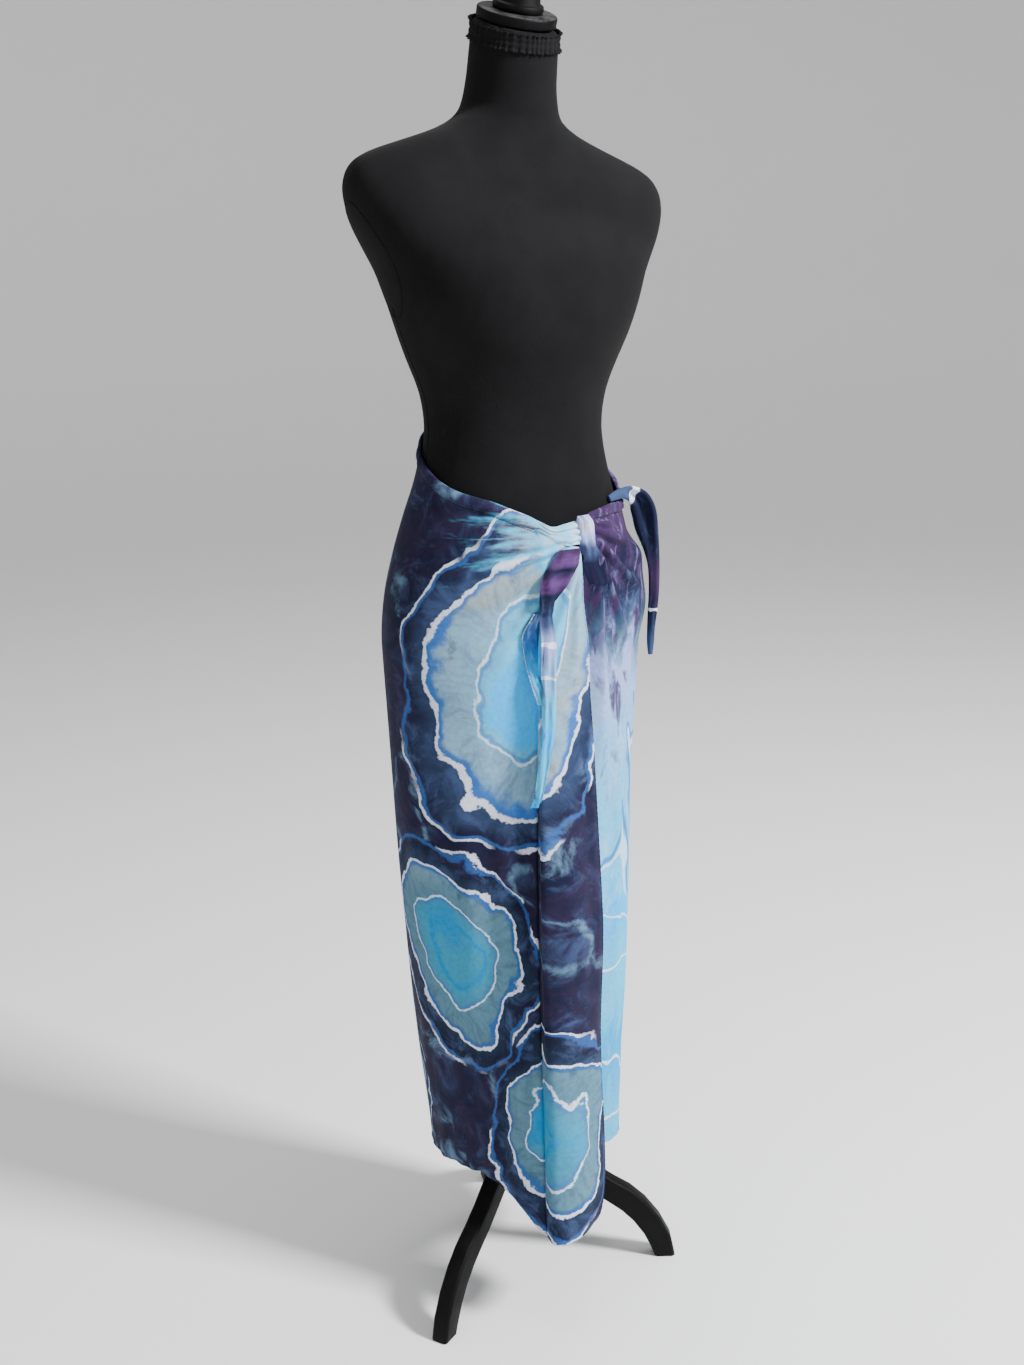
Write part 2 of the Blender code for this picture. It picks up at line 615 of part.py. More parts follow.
def make_bands():
    """The folded band along the top edge, and the gathers that run into the knot."""

    def plain(_):
        return 1.0

    def pleated(across):
        return 1 - GATHER_DIP + GATHER_DIP * math.cos(across * math.pi * GATHER_PLEATS)

    def along_edge(azimuths, half, rise, thick):
        return [(a, cloth_height(a, 0.0) + rise - half, half, thick) for a in azimuths]

    under, back, lap = wrap_columns()
    sections = (-1.0, -0.55, 0.0, 0.55, 1.0)
    band = [a for a in back + lap if a <= BAND_END]
    strip_on_cloth("top_band", along_edge(band, *TOP_BAND), sections, plain, NAVY)
    roll = [a for a in under if ROLL_START <= a]
    strip_on_cloth("under_lap_roll", along_edge(roll, *LAP_ROLL), sections, plain, PURPLE)
    gather = [BAND_END + SEAM] + [a for a in lap if BAND_END + 1.0 < a < GATHER_END - 1.0] + [GATHER_END]
    stations = [(a, *(hermite(GATHER_ROWS, a, c) for c in (1, 2, 3))) for a in gather]
    strip_on_cloth("knot_gather", stations, spread(-1.0, 1.0, 13), pleated, AQUA)


def make_knot_wrap():
    """The turn of cloth over the end of the gathers, running down into the first pleat of the under lap."""
    inner, outer = [], []
    for _, height, azimuth, half, base, thick in WRAP_ROWS:
        inner_row, outer_row = [], []
        for across in (-1.0, -0.7, -0.35, 0.0, 0.35, 0.7, 1.0):
            a = azimuth + math.degrees(across * half / base)
            crown = thick * (WRAP_EDGE + (1 - WRAP_EDGE) * math.sqrt(max(1 - across * across, 0.0)))
            inner_row.append(radial(a, base, height))
            outer_row.append(radial(a, base + crown, height))
        inner.append(inner_row)
        outer.append(outer_row)
    wall("knot_wrap", inner, outer, PURPLE, CLOTH_ROUGH)


def lap_skin(azimuth, height, reach):
    """Radius of the front lap's outer face, the largest within reach degrees, for what hangs on it."""
    turns = (-reach, -reach / 2, 0, reach / 2, reach)
    return CLOTH + max(cloth_radius(azimuth + TURN + turn, height) for turn in turns)


def make_left_tail():
    """The left tie: a folded corner under the knot, a narrow strap and a loose fold behind the strap."""
    for name, rows, colour in (
        ("tail_left", TAIL_LEFT_ROWS, PURPLE),
        ("tail_left_fold", TAIL_FOLD_ROWS, NAVY),
    ):
        inner, outer = [], []
        for _, azimuth, height, half, off, thick in rows:
            inner_row, outer_row = [], []
            for across in (-1.0, -0.5, 0.0, 0.5, 1.0):
                a = azimuth + math.degrees(across * half / LAP_RADIUS)
                base = lap_skin(a, height, LAP_REACH) + off
                crown = thick * (TAIL_EDGE + (1 - TAIL_EDGE) * (1 - across * across))
                inner_row.append(radial(a, base, height))
                outer_row.append(radial(a, base + crown, height))
            inner.append(inner_row)
            outer.append(outer_row)
        wall(name, inner, outer, colour, CLOTH_ROUGH)


def make_right_tail():
    """The right tie: a folded strap that rises out of the knot, bends over and hangs clear of the hip."""
    out = Vector((math.cos(math.radians(VIEW)), math.sin(math.radians(VIEW)), 0))
    deep = Vector((-out.y, out.x, 0))
    path = [out * row[1] + deep * row[2] + Vector((0, 0, row[3])) for row in TAIL_RIGHT_ROWS]
    rings = []
    for k, row in enumerate(TAIL_RIGHT_ROWS):
        along = (path[min(k + 1, len(path) - 1)] - path[max(k - 1, 0)]).normalized()
        wide = along.cross(deep).normalized()
        thick = wide.cross(along).normalized()
        ring = []
        for i in range(TAIL_SIDES):
            a = math.tau * i / TAIL_SIDES
            ring.append(path[k] + wide * (row[4] * math.cos(a)) + thick * (row[5] * math.sin(a)))
        rings.append(ring)
    first = (rings[0][1] - rings[0][0]).cross(rings[0][2] - rings[0][1])
    if first.dot(path[1] - path[0]) < 0:
        rings = [ring[::-1] for ring in rings]
    loft("tail_right", rings, NAVY, CLOTH_ROUGH)


def place_on_floor():
    """Parents every piece to one empty and moves that so the middle of the box's base is the origin."""
    items = [o for o in bpy.data.objects if o.type == "MESH"]
    corners = [v.co for o in items for v in o.data.vertices]
    low = [min(c[k] for c in corners) for k in range(3)]
    high = [max(c[k] for c in corners) for k in range(3)]
    root = bpy.data.objects.new("sarong_on_form", None)
    bpy.context.scene.collection.objects.link(root)
    for item in items:
        item.parent = root
    root.location = (-(low[0] + high[0]) / 2, -(low[1] + high[1]) / 2, -low[2])
    bpy.context.view_layer.update()


def main():
    for item in list(bpy.data.objects):
        bpy.data.objects.remove(item, do_unlink=True)
    make_stand()
    make_form()
    make_neck_trim()
    make_wrap()
    make_bands()
    make_knot_wrap()
    make_left_tail()
    make_right_tail()
    place_on_floor()


main()
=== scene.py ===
import math

import bpy
import numpy as np
from mathutils import Matrix, Vector
from mathutils.bvhtree import BVHTree


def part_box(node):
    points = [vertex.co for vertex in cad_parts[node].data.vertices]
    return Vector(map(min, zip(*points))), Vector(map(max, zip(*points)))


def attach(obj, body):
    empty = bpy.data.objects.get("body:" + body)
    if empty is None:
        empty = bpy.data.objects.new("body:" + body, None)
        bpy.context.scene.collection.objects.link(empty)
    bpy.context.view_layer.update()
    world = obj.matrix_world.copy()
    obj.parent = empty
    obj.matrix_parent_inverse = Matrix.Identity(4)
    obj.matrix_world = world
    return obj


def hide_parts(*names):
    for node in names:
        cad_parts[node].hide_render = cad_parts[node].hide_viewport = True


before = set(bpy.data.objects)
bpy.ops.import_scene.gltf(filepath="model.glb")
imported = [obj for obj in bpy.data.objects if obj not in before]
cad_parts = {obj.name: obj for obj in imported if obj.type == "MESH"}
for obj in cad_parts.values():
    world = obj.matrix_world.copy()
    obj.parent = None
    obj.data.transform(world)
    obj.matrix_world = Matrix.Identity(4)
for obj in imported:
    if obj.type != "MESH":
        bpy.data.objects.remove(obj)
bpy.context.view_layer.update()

bl_info = {
    "name": "Sarong on a dress form",
    "version": (1, 0, 0),
    "blender": (4, 5, 0),
    "location": "View3D > Sidebar > Sarong",
    "description": "Builds the looks of a tie-dyed sarong on a limbless dress form with a tripod stand",
    "category": "Object",
}

# The pole's place in the row frame. The tables below count from it, as in the solid part.
POLE = (sum(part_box("pole"), Vector()) / 2).xy.to_3d()

# The cloth's thickness, its gap to the form, one layer of it on another, and a full turn.
CLOTH = 0.0015
CLING = 0.0013
LAYER = CLOTH + 0.0010
TURN = 360.0
# The form under the cloth: height, half width, depth to the front and to the back, squareness.
FORM_ROWS = [
    ("seat", 0.800, 0.147, 0.094, 0.110, 2.1),
    ("low hip", 0.845, 0.158, 0.103, 0.118, 2.1),
    ("hip", 0.890, 0.162, 0.106, 0.119, 2.1),
    ("high hip", 0.940, 0.158, 0.105, 0.115, 2.1),
    ("belly", 0.990, 0.148, 0.102, 0.106, 2.1),
    ("upper belly", 1.040, 0.136, 0.098, 0.096, 2.1),
    ("under waist", 1.090, 0.122, 0.090, 0.084, 2.1),
    ("waist", 1.140, 0.113, 0.084, 0.079, 2.1),
    ("ribs", 1.185, 0.118, 0.090, 0.083, 2.1),
    ("upper ribs", 1.222, 0.133, 0.101, 0.091, 2.1),
]
# The neck: height on its axis, radius, lean of the axis, tilt in degrees.
NECK_ROWS = [
    ("low neck", 1.528, 0.0527, -0.0010, 10.0),
    ("mid neck", 1.555, 0.0515, -0.0060, 16.0),
    ("neck top", 1.595, 0.0500, -0.0130, 20.0),
]
# The cap on the neck, and the two edges of the band under it.
CAP_RADIUS = 0.0465
CAP_THICK = 0.013
CAP_EDGE = 0.003
BAND_LOW = 1.5730
BAND_HIGH = 1.5925
# The turned knob: height above the cap, radius.
KNOB_ROWS = [
    ("foot", 0.0, 0.0285),
    ("foot edge", 0.004, 0.0295),
    ("foot top", 0.008, 0.0285),
    ("step", 0.0095, 0.0245),
    ("bell", 0.016, 0.0235),
    ("bell shoulder", 0.023, 0.0185),
    ("waist", 0.030, 0.0110),
    ("collar", 0.033, 0.0135),
    ("collar top", 0.036, 0.0130),
    ("ball start", 0.039, 0.0110),
    ("ball low", 0.046, 0.0180),
    ("ball middle", 0.055, 0.0205),
    ("ball high", 0.064, 0.0165),
    ("ball top", 0.070, 0.0080),
]
POLE_RADIUS = 0.0125
# The hub: height, radius.
HUB_ROWS = [
    ("low", 0.138, 0.0200),
    ("low edge", 0.142, 0.0265),
    ("high edge", 0.212, 0.0265),
    ("collar", 0.216, 0.0190),
    ("top", 0.232, 0.0180),
]
# The cloth's meridians: azimuth, top edge, hem, ease over the hip, radius at the knee and at the hem.
CLOTH_ROWS = [
    ("hidden edge", -40.0, 1.030, 0.178, 0.000, 0.106, 0.086),
    ("hidden lap", -14.0, 1.028, 0.184, 0.000, 0.108, 0.088),
    ("under knot", 2.0, 1.028, 0.192, 0.001, 0.112, 0.092),
    ("knot side", 20.0, 1.0425, 0.202, 0.003, 0.124, 0.104),
    ("left front", 46.0, 1.0500, 0.200, 0.004, 0.136, 0.125),
    ("left side", 63.0, 1.0510, 0.186, 0.004, 0.139, 0.134),
    ("left hip", 80.0, 1.0740, 0.182, 0.002, 0.142, 0.140),
    ("left back", 105.0, 1.1140, 0.180, 0.002, 0.140, 0.137),
    ("back left", 140.0, 1.144, 0.174, 0.001, 0.136, 0.135),
    ("back", 180.0, 1.153, 0.170, 0.001, 0.130, 0.132),
    ("back right", 218.0, 1.149, 0.172, 0.002, 0.136, 0.124),
    ("right back", 243.0, 1.136, 0.180, 0.007, 0.145, 0.112),
    ("right hip", 268.0, 1.108, 0.187, 0.006, 0.141, 0.106),
    ("right thigh", 294.0, 1.0795, 0.195, 0.001, 0.125, 0.110),
    ("hollow", 316.0, 1.0665, 0.190, 0.000, 0.116, 0.118),
    ("front", 331.0, 1.0545, 0.165, 0.001, 0.117, 0.134),
    ("pleat root", 340.0, 1.0475, 0.137, 0.003, 0.121, 0.152),
    ("pleat crest", 348.0, 1.0385, 0.130, 0.008, 0.142, 0.173),
    ("lap", 362.0, 1.0150, 0.137, 0.008, 0.142, 0.164),
    ("lap corner", 374.0, 1.0080, 0.163, 0.007, 0.137, 0.153),
    ("lap edge", 382.0, 1.0060, 0.215, 0.007, 0.132, 0.143),
]
# Heights: where the ease starts and is full, the hip, the knee and the hem.
EASE_FROM = 1.110
EASE_FULL = 0.960
HIP_LEVEL = 0.880
KNEE_LEVEL = 0.500
HEM_LEVEL = 0.150
# Azimuths between which the front lap moves out over the under lap.
SECOND_LAYER_FROM = 296.0
SECOND_LAYER_FULL = 316.0
# The free edge of the front lap: height, azimuth past 360.
LAP_EDGE_ROWS = [
    ("shin", 0.150, 19.6),
    ("knee", 0.500, 15.6),
    ("thigh", 0.767, 13.2),
    ("hip", 0.896, 12.4),
    ("knot", 1.010, 13.4),
]
# Soft folds: start and end (azimuth, height), half width, and how far each stands out.
FOLD_ROWS = [
    ("knot pleat", 24.0, 0.995, 28.0, 0.700, 0.0085, 0.0110),
    ("knot fan low", 28.0, 1.026, 43.0, 0.940, 0.0080, 0.0055),
    ("knot fan middle", 31.0, 1.034, 70.0, 0.965, 0.0085, 0.0065),
    ("hip puff", 59.0, 1.005, 66.0, 0.870, 0.0300, 0.0115),
    ("lap pull high", 350.0, 1.018, 306.0, 1.012, 0.0120, 0.0030),
    ("lap pull low", 350.0, 1.000, 316.0, 0.920, 0.0150, 0.0032),
    ("back fold", 172.0, 0.180, 176.0, 0.560, 0.0220, 0.0090),
    ("back left fold", 140.0, 0.180, 146.0, 0.480, 0.0200, 0.0080),
    ("back right fold", 205.0, 0.180, 200.0, 0.500, 0.0200, 0.0080),
]
# The radius at which a turn about the pole counts as length across a fold.
FOLD_SCALE = 0.135
# The gathers beside the knot: azimuth, middle height, half height, thickness.
GATHER_ROWS = [
    ("start", 345.0, 1.0365, 0.0072, 0.0030),
    ("spread", 354.0, 1.0270, 0.0085, 0.0042),
    ("bundle", 363.0, 1.0250, 0.0122, 0.0055),
    ("end", 371.5, 1.0255, 0.0138, 0.0062),
]
GATHER_PLEATS = 3
GATHER_FROM = 341.0
# Where the top band ends and the roll on the under lap starts: azimuths.
BAND_END = 345.5
ROLL_START = 27.0
# The turn of cloth over the knot: height, middle azimuth, half width, radius of its inner face, thickness.
WRAP_ROWS = [
    ("top", 1.0455, 17.2, 0.0080, 0.1120, 0.0040),
    ("over", 1.0420, 17.2, 0.0094, 0.1120, 0.0075),
    ("crown", 1.0345, 17.6, 0.0104, 0.1118, 0.0092),
    ("middle", 1.0240, 18.2, 0.0108, 0.1118, 0.0095),
    ("low", 1.0120, 19.2, 0.0108, 0.1130, 0.0088),
    ("foot", 1.0010, 20.6, 0.0106, 0.1180, 0.0060),
    ("end", 0.9920, 22.0, 0.0098, 0.1235, 0.0030),
]
# The left tie: azimuth, height, half width, stand off from the front lap, thickness.
TAIL_LEFT_ROWS = [
    ("root", 2.6, 1.0095, 0.0140, 0.0004, 0.0034),
    ("corner", -0.6, 1.0000, 0.0172, 0.0008, 0.0036),
    ("wide", -5.2, 0.9850, 0.0185, 0.0022, 0.0036),
    ("turn", -9.4, 0.9690, 0.0148, 0.0026, 0.0034),
    ("narrow", -12.6, 0.9560, 0.0098, 0.0030, 0.0030),
    ("strap top", -13.6, 0.9450, 0.0078, 0.0030, 0.0028),
    ("strap high", -13.6, 0.9030, 0.0078, 0.0030, 0.0028),
    ("strap middle", -13.4, 0.8540, 0.0078, 0.0030, 0.0028),
    ("strap low", -13.9, 0.8050, 0.0072, 0.0030, 0.0028),
    ("strap bend", -16.1, 0.7660, 0.0060, 0.0030, 0.0030),
    ("strap end", -19.4, 0.7170, 0.0044, 0.0026, 0.0034),
    ("tied end", -20.5, 0.7020, 0.0054, 0.0020, 0.0048),
]
# Its second strap, in the same columns.
TAIL_FOLD_ROWS = [
    ("start", -18.4, 0.9380, 0.0030, 0.0006, 0.0018),
    ("flare", -21.8, 0.9130, 0.0080, 0.0006, 0.0018),
    ("wide", -21.4, 0.8900, 0.0078, 0.0006, 0.0018),
    ("fall", -19.6, 0.8600, 0.0060, 0.0006, 0.0018),
    ("tip", -17.4, 0.8300, 0.0030, 0.0006, 0.0018),
]
# The lap's radius under the left tie, and how far to each side the tie bridges its folds, in degrees.
LAP_RADIUS = 0.115
LAP_REACH = 5.0
# The right tie, seen from this azimuth: distance out, distance back, height, half width, half depth.
VIEW = -30.0
TAIL_RIGHT_ROWS = [
    ("root", 0.1150, -0.0200, 1.0562, 0.0040, 0.0022),
    ("rise", 0.1235, -0.0110, 1.0590, 0.0056, 0.0034),
    ("climb", 0.1335, -0.0030, 1.0612, 0.0066, 0.0046),
    ("apex", 0.1455, 0.0030, 1.0600, 0.0084, 0.0058),
    ("shoulder", 0.1560, 0.0060, 1.0520, 0.0108, 0.0066),
    ("bend", 0.1625, 0.0080, 1.0370, 0.0122, 0.0070),
    ("fall", 0.1655, 0.0100, 1.0160, 0.0122, 0.0066),
    ("high", 0.1700, 0.0130, 0.9910, 0.0096, 0.0056),
    ("middle", 0.1735, 0.0160, 0.9650, 0.0074, 0.0046),
    ("low", 0.1740, 0.0170, 0.9340, 0.0066, 0.0042),
    ("waist", 0.1725, 0.0170, 0.9080, 0.0060, 0.0040),
    ("tie", 0.1710, 0.0160, 0.8880, 0.0050, 0.0034),
    ("stub", 0.1705, 0.0150, 0.8700, 0.0046, 0.0030),
    ("end", 0.1705, 0.0150, 0.8540, 0.0030, 0.0020),
]
# The deep pleat under the knot: its root, the turn in which it rises, how far, and its heights.
PLEAT_AZIMUTH = 343.6
PLEAT_TURN = 2.6
PLEAT_STAND = 0.0065
PLEAT_TOP = 0.955
PLEAT_FULL = 0.880
PLEAT_LOW = 0.560
PLEAT_END = 0.380

# Finer creases that the solid part leaves out, in the same columns as the folds.
CREASE_ROWS = [
    ("lap ray a", 368.0, 1.022, 298.0, 1.006, 0.0034, 0.0060),
    ("lap ray b", 368.0, 1.018, 290.0, 0.974, 0.0038, 0.0072),
    ("lap ray c", 369.0, 1.013, 298.0, 0.930, 0.0042, 0.0070),
    ("lap ray d", 370.0, 1.008, 318.0, 0.890, 0.0044, 0.0066),
    ("lap ray e", 371.0, 1.002, 342.0, 0.858, 0.0042, 0.0058),
    ("lap ray f", 371.5, 0.998, 360.0, 0.840, 0.0040, 0.0050),
    ("hip ray a", 318.0, 1.034, 280.0, 1.010, 0.0090, 0.0028),
    ("hip ray b", 308.0, 0.985, 262.0, 0.940, 0.0130, 0.0025),
    ("hip ray c", 330.0, 0.900, 300.0, 0.790, 0.0150, 0.0028),
    ("under ray a", 23.0, 1.037, 48.0, 1.026, 0.0030, 0.0066),
    ("under ray b", 23.0, 1.030, 60.0, 0.996, 0.0032, 0.0086),
    ("under ray c", 24.0, 1.020, 60.0, 0.935, 0.0036, 0.0090),
    ("under ray d", 25.0, 1.008, 50.0, 0.860, 0.0038, 0.0088),
    ("under ray e", 26.0, 0.996, 39.0, 0.780, 0.0038, 0.0080),
    ("under hang a", 40.0, 0.800, 38.0, 0.300, 0.0080, 0.0050),
    ("under hang b", 52.0, 0.760, 50.0, 0.250, 0.0100, 0.0052),
    ("strip roll", 358.0, 0.760, 361.0, 0.330, 0.0130, 0.0050),
    ("strip edge", 370.0, 0.820, 374.0, 0.300, 0.0080, 0.0037),
    ("lap fall", 322.0, 0.700, 324.0, 0.300, 0.0160, 0.0047),
    ("side fall", 300.0, 0.720, 303.0, 0.260, 0.0180, 0.0052),
    ("side fall b", 278.0, 0.640, 280.0, 0.240, 0.0180, 0.0047),
    ("hem wave a", 332.0, 0.140, 329.0, 0.420, 0.0110, 0.0063),
    ("hem wave b", 312.0, 0.170, 316.0, 0.400, 0.0140, 0.0050),
    ("hem wave c", 360.0, 0.120, 353.0, 0.340, 0.0110, 0.0057),
]
# The visual cloth's pleat is a real fold: its crest leans back over a groove beside its root.
PLEAT_LEAN = 3.7
PLEAT_FADE = 365.0
PLEAT_TUCK = 0.045
PLEAT_RISE = 0.0030
GROOVE_OFF = 0.6
GROOVE_HALF = 1.3
GROOVE_HIGH = 0.0012
GROOVE_LOW = 0.0075
GROOVE_FROM = 0.86
GROOVE_FULL = 0.60
# The lap's lower corner is fuller than its table.
CORNER_DROP = 0.007
CORNER_AT = 371.0
CORNER_HALF = 6.0
# The wrap over the knot runs on into the pleat under it, and rounds over at its top.
WRAP_MERGE = ("merge", 0.962, 23.8, 0.0076, 0.1235, 0.0030)
WRAP_OVER = 1.0350
WRAP_ROUND = 0.0108
# The radius at which a turn about the pole counts as length along the cloth, for its dye.
DYE_RADIUS = 0.150
# How far round, in degrees, and how far up the cloth's slope is read.
SKIN_TURN = 0.6
SKIN_STEP = 0.003


def smooth_between(low, high, rise_low, rise_high, step, t):
    """A smooth curve from one row to the next, t of the way, with the slope at each."""
    level = low * (1 + 2 * t) * (1 - t) ** 2 + high * (3 - 2 * t) * t**2
    return level + step * (rise_low * t * (1 - t) ** 2 - rise_high * t**2 * (1 - t))


def curve(table, x, column):
    """One column of a table on a smooth curve through its rows, for many values of the first number."""
    xs, ys = (np.array([row[k] for row in table], float) for k in (1, 1 + column))
    x = np.clip(np.asarray(x, float), xs[0], xs[-1])
    i = np.clip(np.searchsorted(xs, x, side="right") - 1, 0, len(xs) - 2)
    slope = np.diff(ys) / np.diff(xs)
    middle = (ys[2:] - ys[:-2]) / (xs[2:] - xs[:-2])
    rise = np.concatenate([slope[:1], middle, slope[-1:]])
    step = xs[i + 1] - xs[i]
    return smooth_between(ys[i], ys[i + 1], rise[i], rise[i + 1], step, (x - xs[i]) / step)


def ease_step(start, full, x):
    """0 up to start, 1 from full on, and smooth between them; start may be the higher of the two."""
    t = np.clip((np.asarray(x, float) - start) / (full - start), 0.0, 1.0)
    return t * t * (3 - 2 * t)


def radial(azimuth, radius, height):
    """Points about the pole, in the row frame, one row of three numbers each."""
    a = np.radians(azimuth)
    x, y, z = np.broadcast_arrays(radius * np.sin(a) + POLE.x, -radius * np.cos(a) + POLE.y, height)
    return np.stack([x, y, z], axis=-1)


def form_radius(azimuth, height):
    half, front, back, power = (curve(FORM_ROWS, height, c) for c in (1, 2, 3, 4))
    a = np.radians(azimuth)
    across, along = np.abs(np.sin(a)), np.cos(a)
    depth = np.where(along > 0, front, back)
    return ((across / half) ** power + (np.abs(along) / depth) ** power) ** (-1 / power)


def fold_lift(azimuth, height, rows):
    """How far rows of folds lift the cloth, each a rounded ridge along its line."""
    lift = np.zeros(np.broadcast(azimuth, height).shape)
    for _, a0, z0, a1, z1, half_width, stand in rows:
        ex, ez = math.radians(a1 - a0) * FOLD_SCALE, z1 - z0
        hx, hz = np.radians(azimuth - a0) * FOLD_SCALE, height - z0
        t = (hx * ex + hz * ez) / (ex * ex + ez * ez)
        near = np.clip(t, 0.0, 1.0)
        across = np.hypot(hx - ex * near, hz - ez * near)
        fade = ease_step(-0.05, 0.12, t) * (1 - ease_step(0.55, 1.05, t))
        lift += stand * fade * np.exp(-((across / (half_width * (1 + 0.8 * near))) ** 2))
    return lift


def cloth_radius(azimuth, height):
    """Radius of the cloth's inner face: it clings to the form down to the hip and hangs free below it."""
    azimuth, height = np.broadcast_arrays(np.asarray(azimuth, float), np.asarray(height, float))
    ease, knee, hem = (curve(CLOTH_ROWS, azimuth, c) for c in (3, 4, 5))
    layer = LAYER * ease_step(SECOND_LAYER_FROM, SECOND_LAYER_FULL, azimuth)
    radius = form_radius(azimuth, np.maximum(height, HIP_LEVEL)) + CLING + layer
    radius = radius + ease * ease_step(EASE_FROM, EASE_FULL, height)
    xs = np.array([HEM_LEVEL - 0.05, HEM_LEVEL, KNEE_LEVEL, HIP_LEVEL, HIP_LEVEL + 0.10])
    ys = np.stack([hem + (hem - knee) * 0.10, hem, knee, radius, radius])
    rise = np.empty_like(ys)
    rise[1:-1] = (ys[2:] - ys[:-2]) / (xs[2:] - xs[:-2]).reshape((3,) + (1,) * azimuth.ndim)
    rise[0] = (ys[1] - ys[0]) / (xs[1] - xs[0])
    rise[-1] = 0.0
    low = np.clip(height, xs[0], HIP_LEVEL - 1e-9)
    i = np.clip(np.searchsorted(xs, low, side="right") - 1, 0, 2)[None]
    step = xs[i + 1] - xs[i]
    t = (low[None] - xs[i]) / step

    def pick(values, index):
        return np.take_along_axis(values, index, axis=0)

    hung = smooth_between(pick(ys, i), pick(ys, i + 1), pick(rise, i), pick(rise, i + 1), step, t)
    radius = np.where(height < HIP_LEVEL, hung[0], radius)
    pleat = ease_step(PLEAT_AZIMUTH, PLEAT_AZIMUTH + PLEAT_TURN, azimuth)
    pleat = pleat * ease_step(PLEAT_TOP, PLEAT_FULL, height) * ease_step(PLEAT_END, PLEAT_LOW, height)
    radius = radius + PLEAT_STAND * pleat + fold_lift(azimuth, height, FOLD_ROWS)
    radius = radius + fold_lift(azimuth, height, CREASE_ROWS) + drape(azimuth, height)
    groove = np.exp(-(((azimuth - PLEAT_AZIMUTH + GROOVE_OFF) / GROOVE_HALF) ** 2))
    depth = GROOVE_HIGH + (GROOVE_LOW - GROOVE_HIGH) * ease_step(GROOVE_FROM, GROOVE_FULL, height)
    return radius - groove * depth * ease_step(PLEAT_TOP, PLEAT_FULL, height) + PLEAT_RISE * pleat


def pleat_lean(azimuth, height):
    """Degrees that the pleat's crest leans over its groove."""
    near = ease_step(PLEAT_AZIMUTH, PLEAT_AZIMUTH + PLEAT_TURN, azimuth)
    near = near * (1 - ease_step(PLEAT_AZIMUTH + PLEAT_TURN, PLEAT_FADE, azimuth))
    fall = 0.35 + 0.65 * ease_step(PLEAT_END - 0.12, PLEAT_LOW, height)
    return -PLEAT_LEAN * near * fall * ease_step(PLEAT_TOP, PLEAT_FULL, height)


def drape(azimuth, height):
    """Slow unevenness of hanging jersey, a part of a millimetre."""
    u, v = np.radians(azimuth) * DYE_RADIUS * 100, height * 100
    wave = np.sin(0.62 * u + 0.9 * np.sin(0.11 * v)) * np.sin(0.13 * v + 0.35 * u)
    wave = wave + 0.6 * np.sin(1.35 * u - 0.21 * v + 1.7 * np.sin(0.07 * v + 2.0))
    return 0.00035 * wave * (0.4 + ease_step(0.95, 0.45, height) * 1.6)


def cloth_height(azimuth, share):
    top, hem = curve(CLOTH_ROWS, azimuth, 1), curve(CLOTH_ROWS, azimuth, 2)
    hem = hem - CORNER_DROP * np.exp(-(((azimuth - CORNER_AT) / CORNER_HALF) ** 2))
    return top + (hem - top) * share


def cloth_skin(azimuth, height, out):
    """Points on the cloth's inner face, moved out square to it."""
    azimuth, height = np.broadcast_arrays(np.asarray(azimuth, float), np.asarray(height, float))

    def near(a, z):
        return radial(a + pleat_lean(a, z), cloth_radius(a, z), z)

    round_it = near(azimuth + SKIN_TURN, height) - near(azimuth - SKIN_TURN, height)
    down_it = near(azimuth, height - SKIN_STEP) - near(azimuth, height + SKIN_STEP)
    normal = np.cross(down_it, round_it)
    normal /= np.linalg.norm(normal, axis=-1, keepdims=True)
    return near(azimuth, height) + normal * np.asarray(out)[..., None]


def resample(rows, count):
    """The number columns of a table at evenly spread steps along its rows, smooth between them."""
    steps = np.linspace(0, len(rows) - 1, count)
    table = [("", k, *row[1:]) for k, row in enumerate(rows)]
    return np.stack([curve(table, steps, c) for c in range(1, len(rows[0]))], axis=1)


def select_only(item):
    bpy.ops.object.select_all(action="DESELECT")
    item.select_set(True)
    bpy.context.view_layer.objects.active = item


def new_mesh(name, points, faces, uv=None):
    """A mesh object from points and faces, with one texture coordinate per point if given."""
    mesh = bpy.data.meshes.new(name)
    mesh.from_pydata(np.asarray(points, float).reshape(-1, 3).tolist(), [], faces)
    mesh.update()
    if uv is not None:
        layer = mesh.uv_layers.new(name="cloth")
        corners = np.empty(len(mesh.loops), np.int32)
        mesh.loops.foreach_get("vertex_index", corners)
        layer.data.foreach_set("uv", np.asarray(uv, np.float32).reshape(-1, 2)[corners].ravel())
    item = bpy.data.objects.new(name, mesh)
    bpy.context.scene.collection.objects.link(item)
    mesh.shade_smooth()
    return item


def grid_faces(rows, columns, closed=False):
    """Quads of a grid, its rows from the top down and its columns round the body, facing out."""
    faces = []
    across = columns if closed else columns - 1
    for r in range(rows - 1):
        for c in range(across):
            d = (c + 1) % columns
            faces.append((r * columns + c, (r + 1) * columns + c, (r + 1) * columns + d, r * columns + d))
    return faces


def ring_faces(count, sides, closed=False):
    """Quads between closed rings of points, with both ends shut unless the rings close on themselves."""
    faces = []
    for r in range(count if closed else count - 1):
        after = (r + 1) % count
        for i in range(sides):
            j = (i + 1) % sides
            faces.append((r * sides + i, r * sides + j, after * sides + j, after * sides + i))
    if not closed:
        faces.append(tuple(reversed(range(sides))))
        faces.append(tuple(range((count - 1) * sides, count * sides)))
    return faces


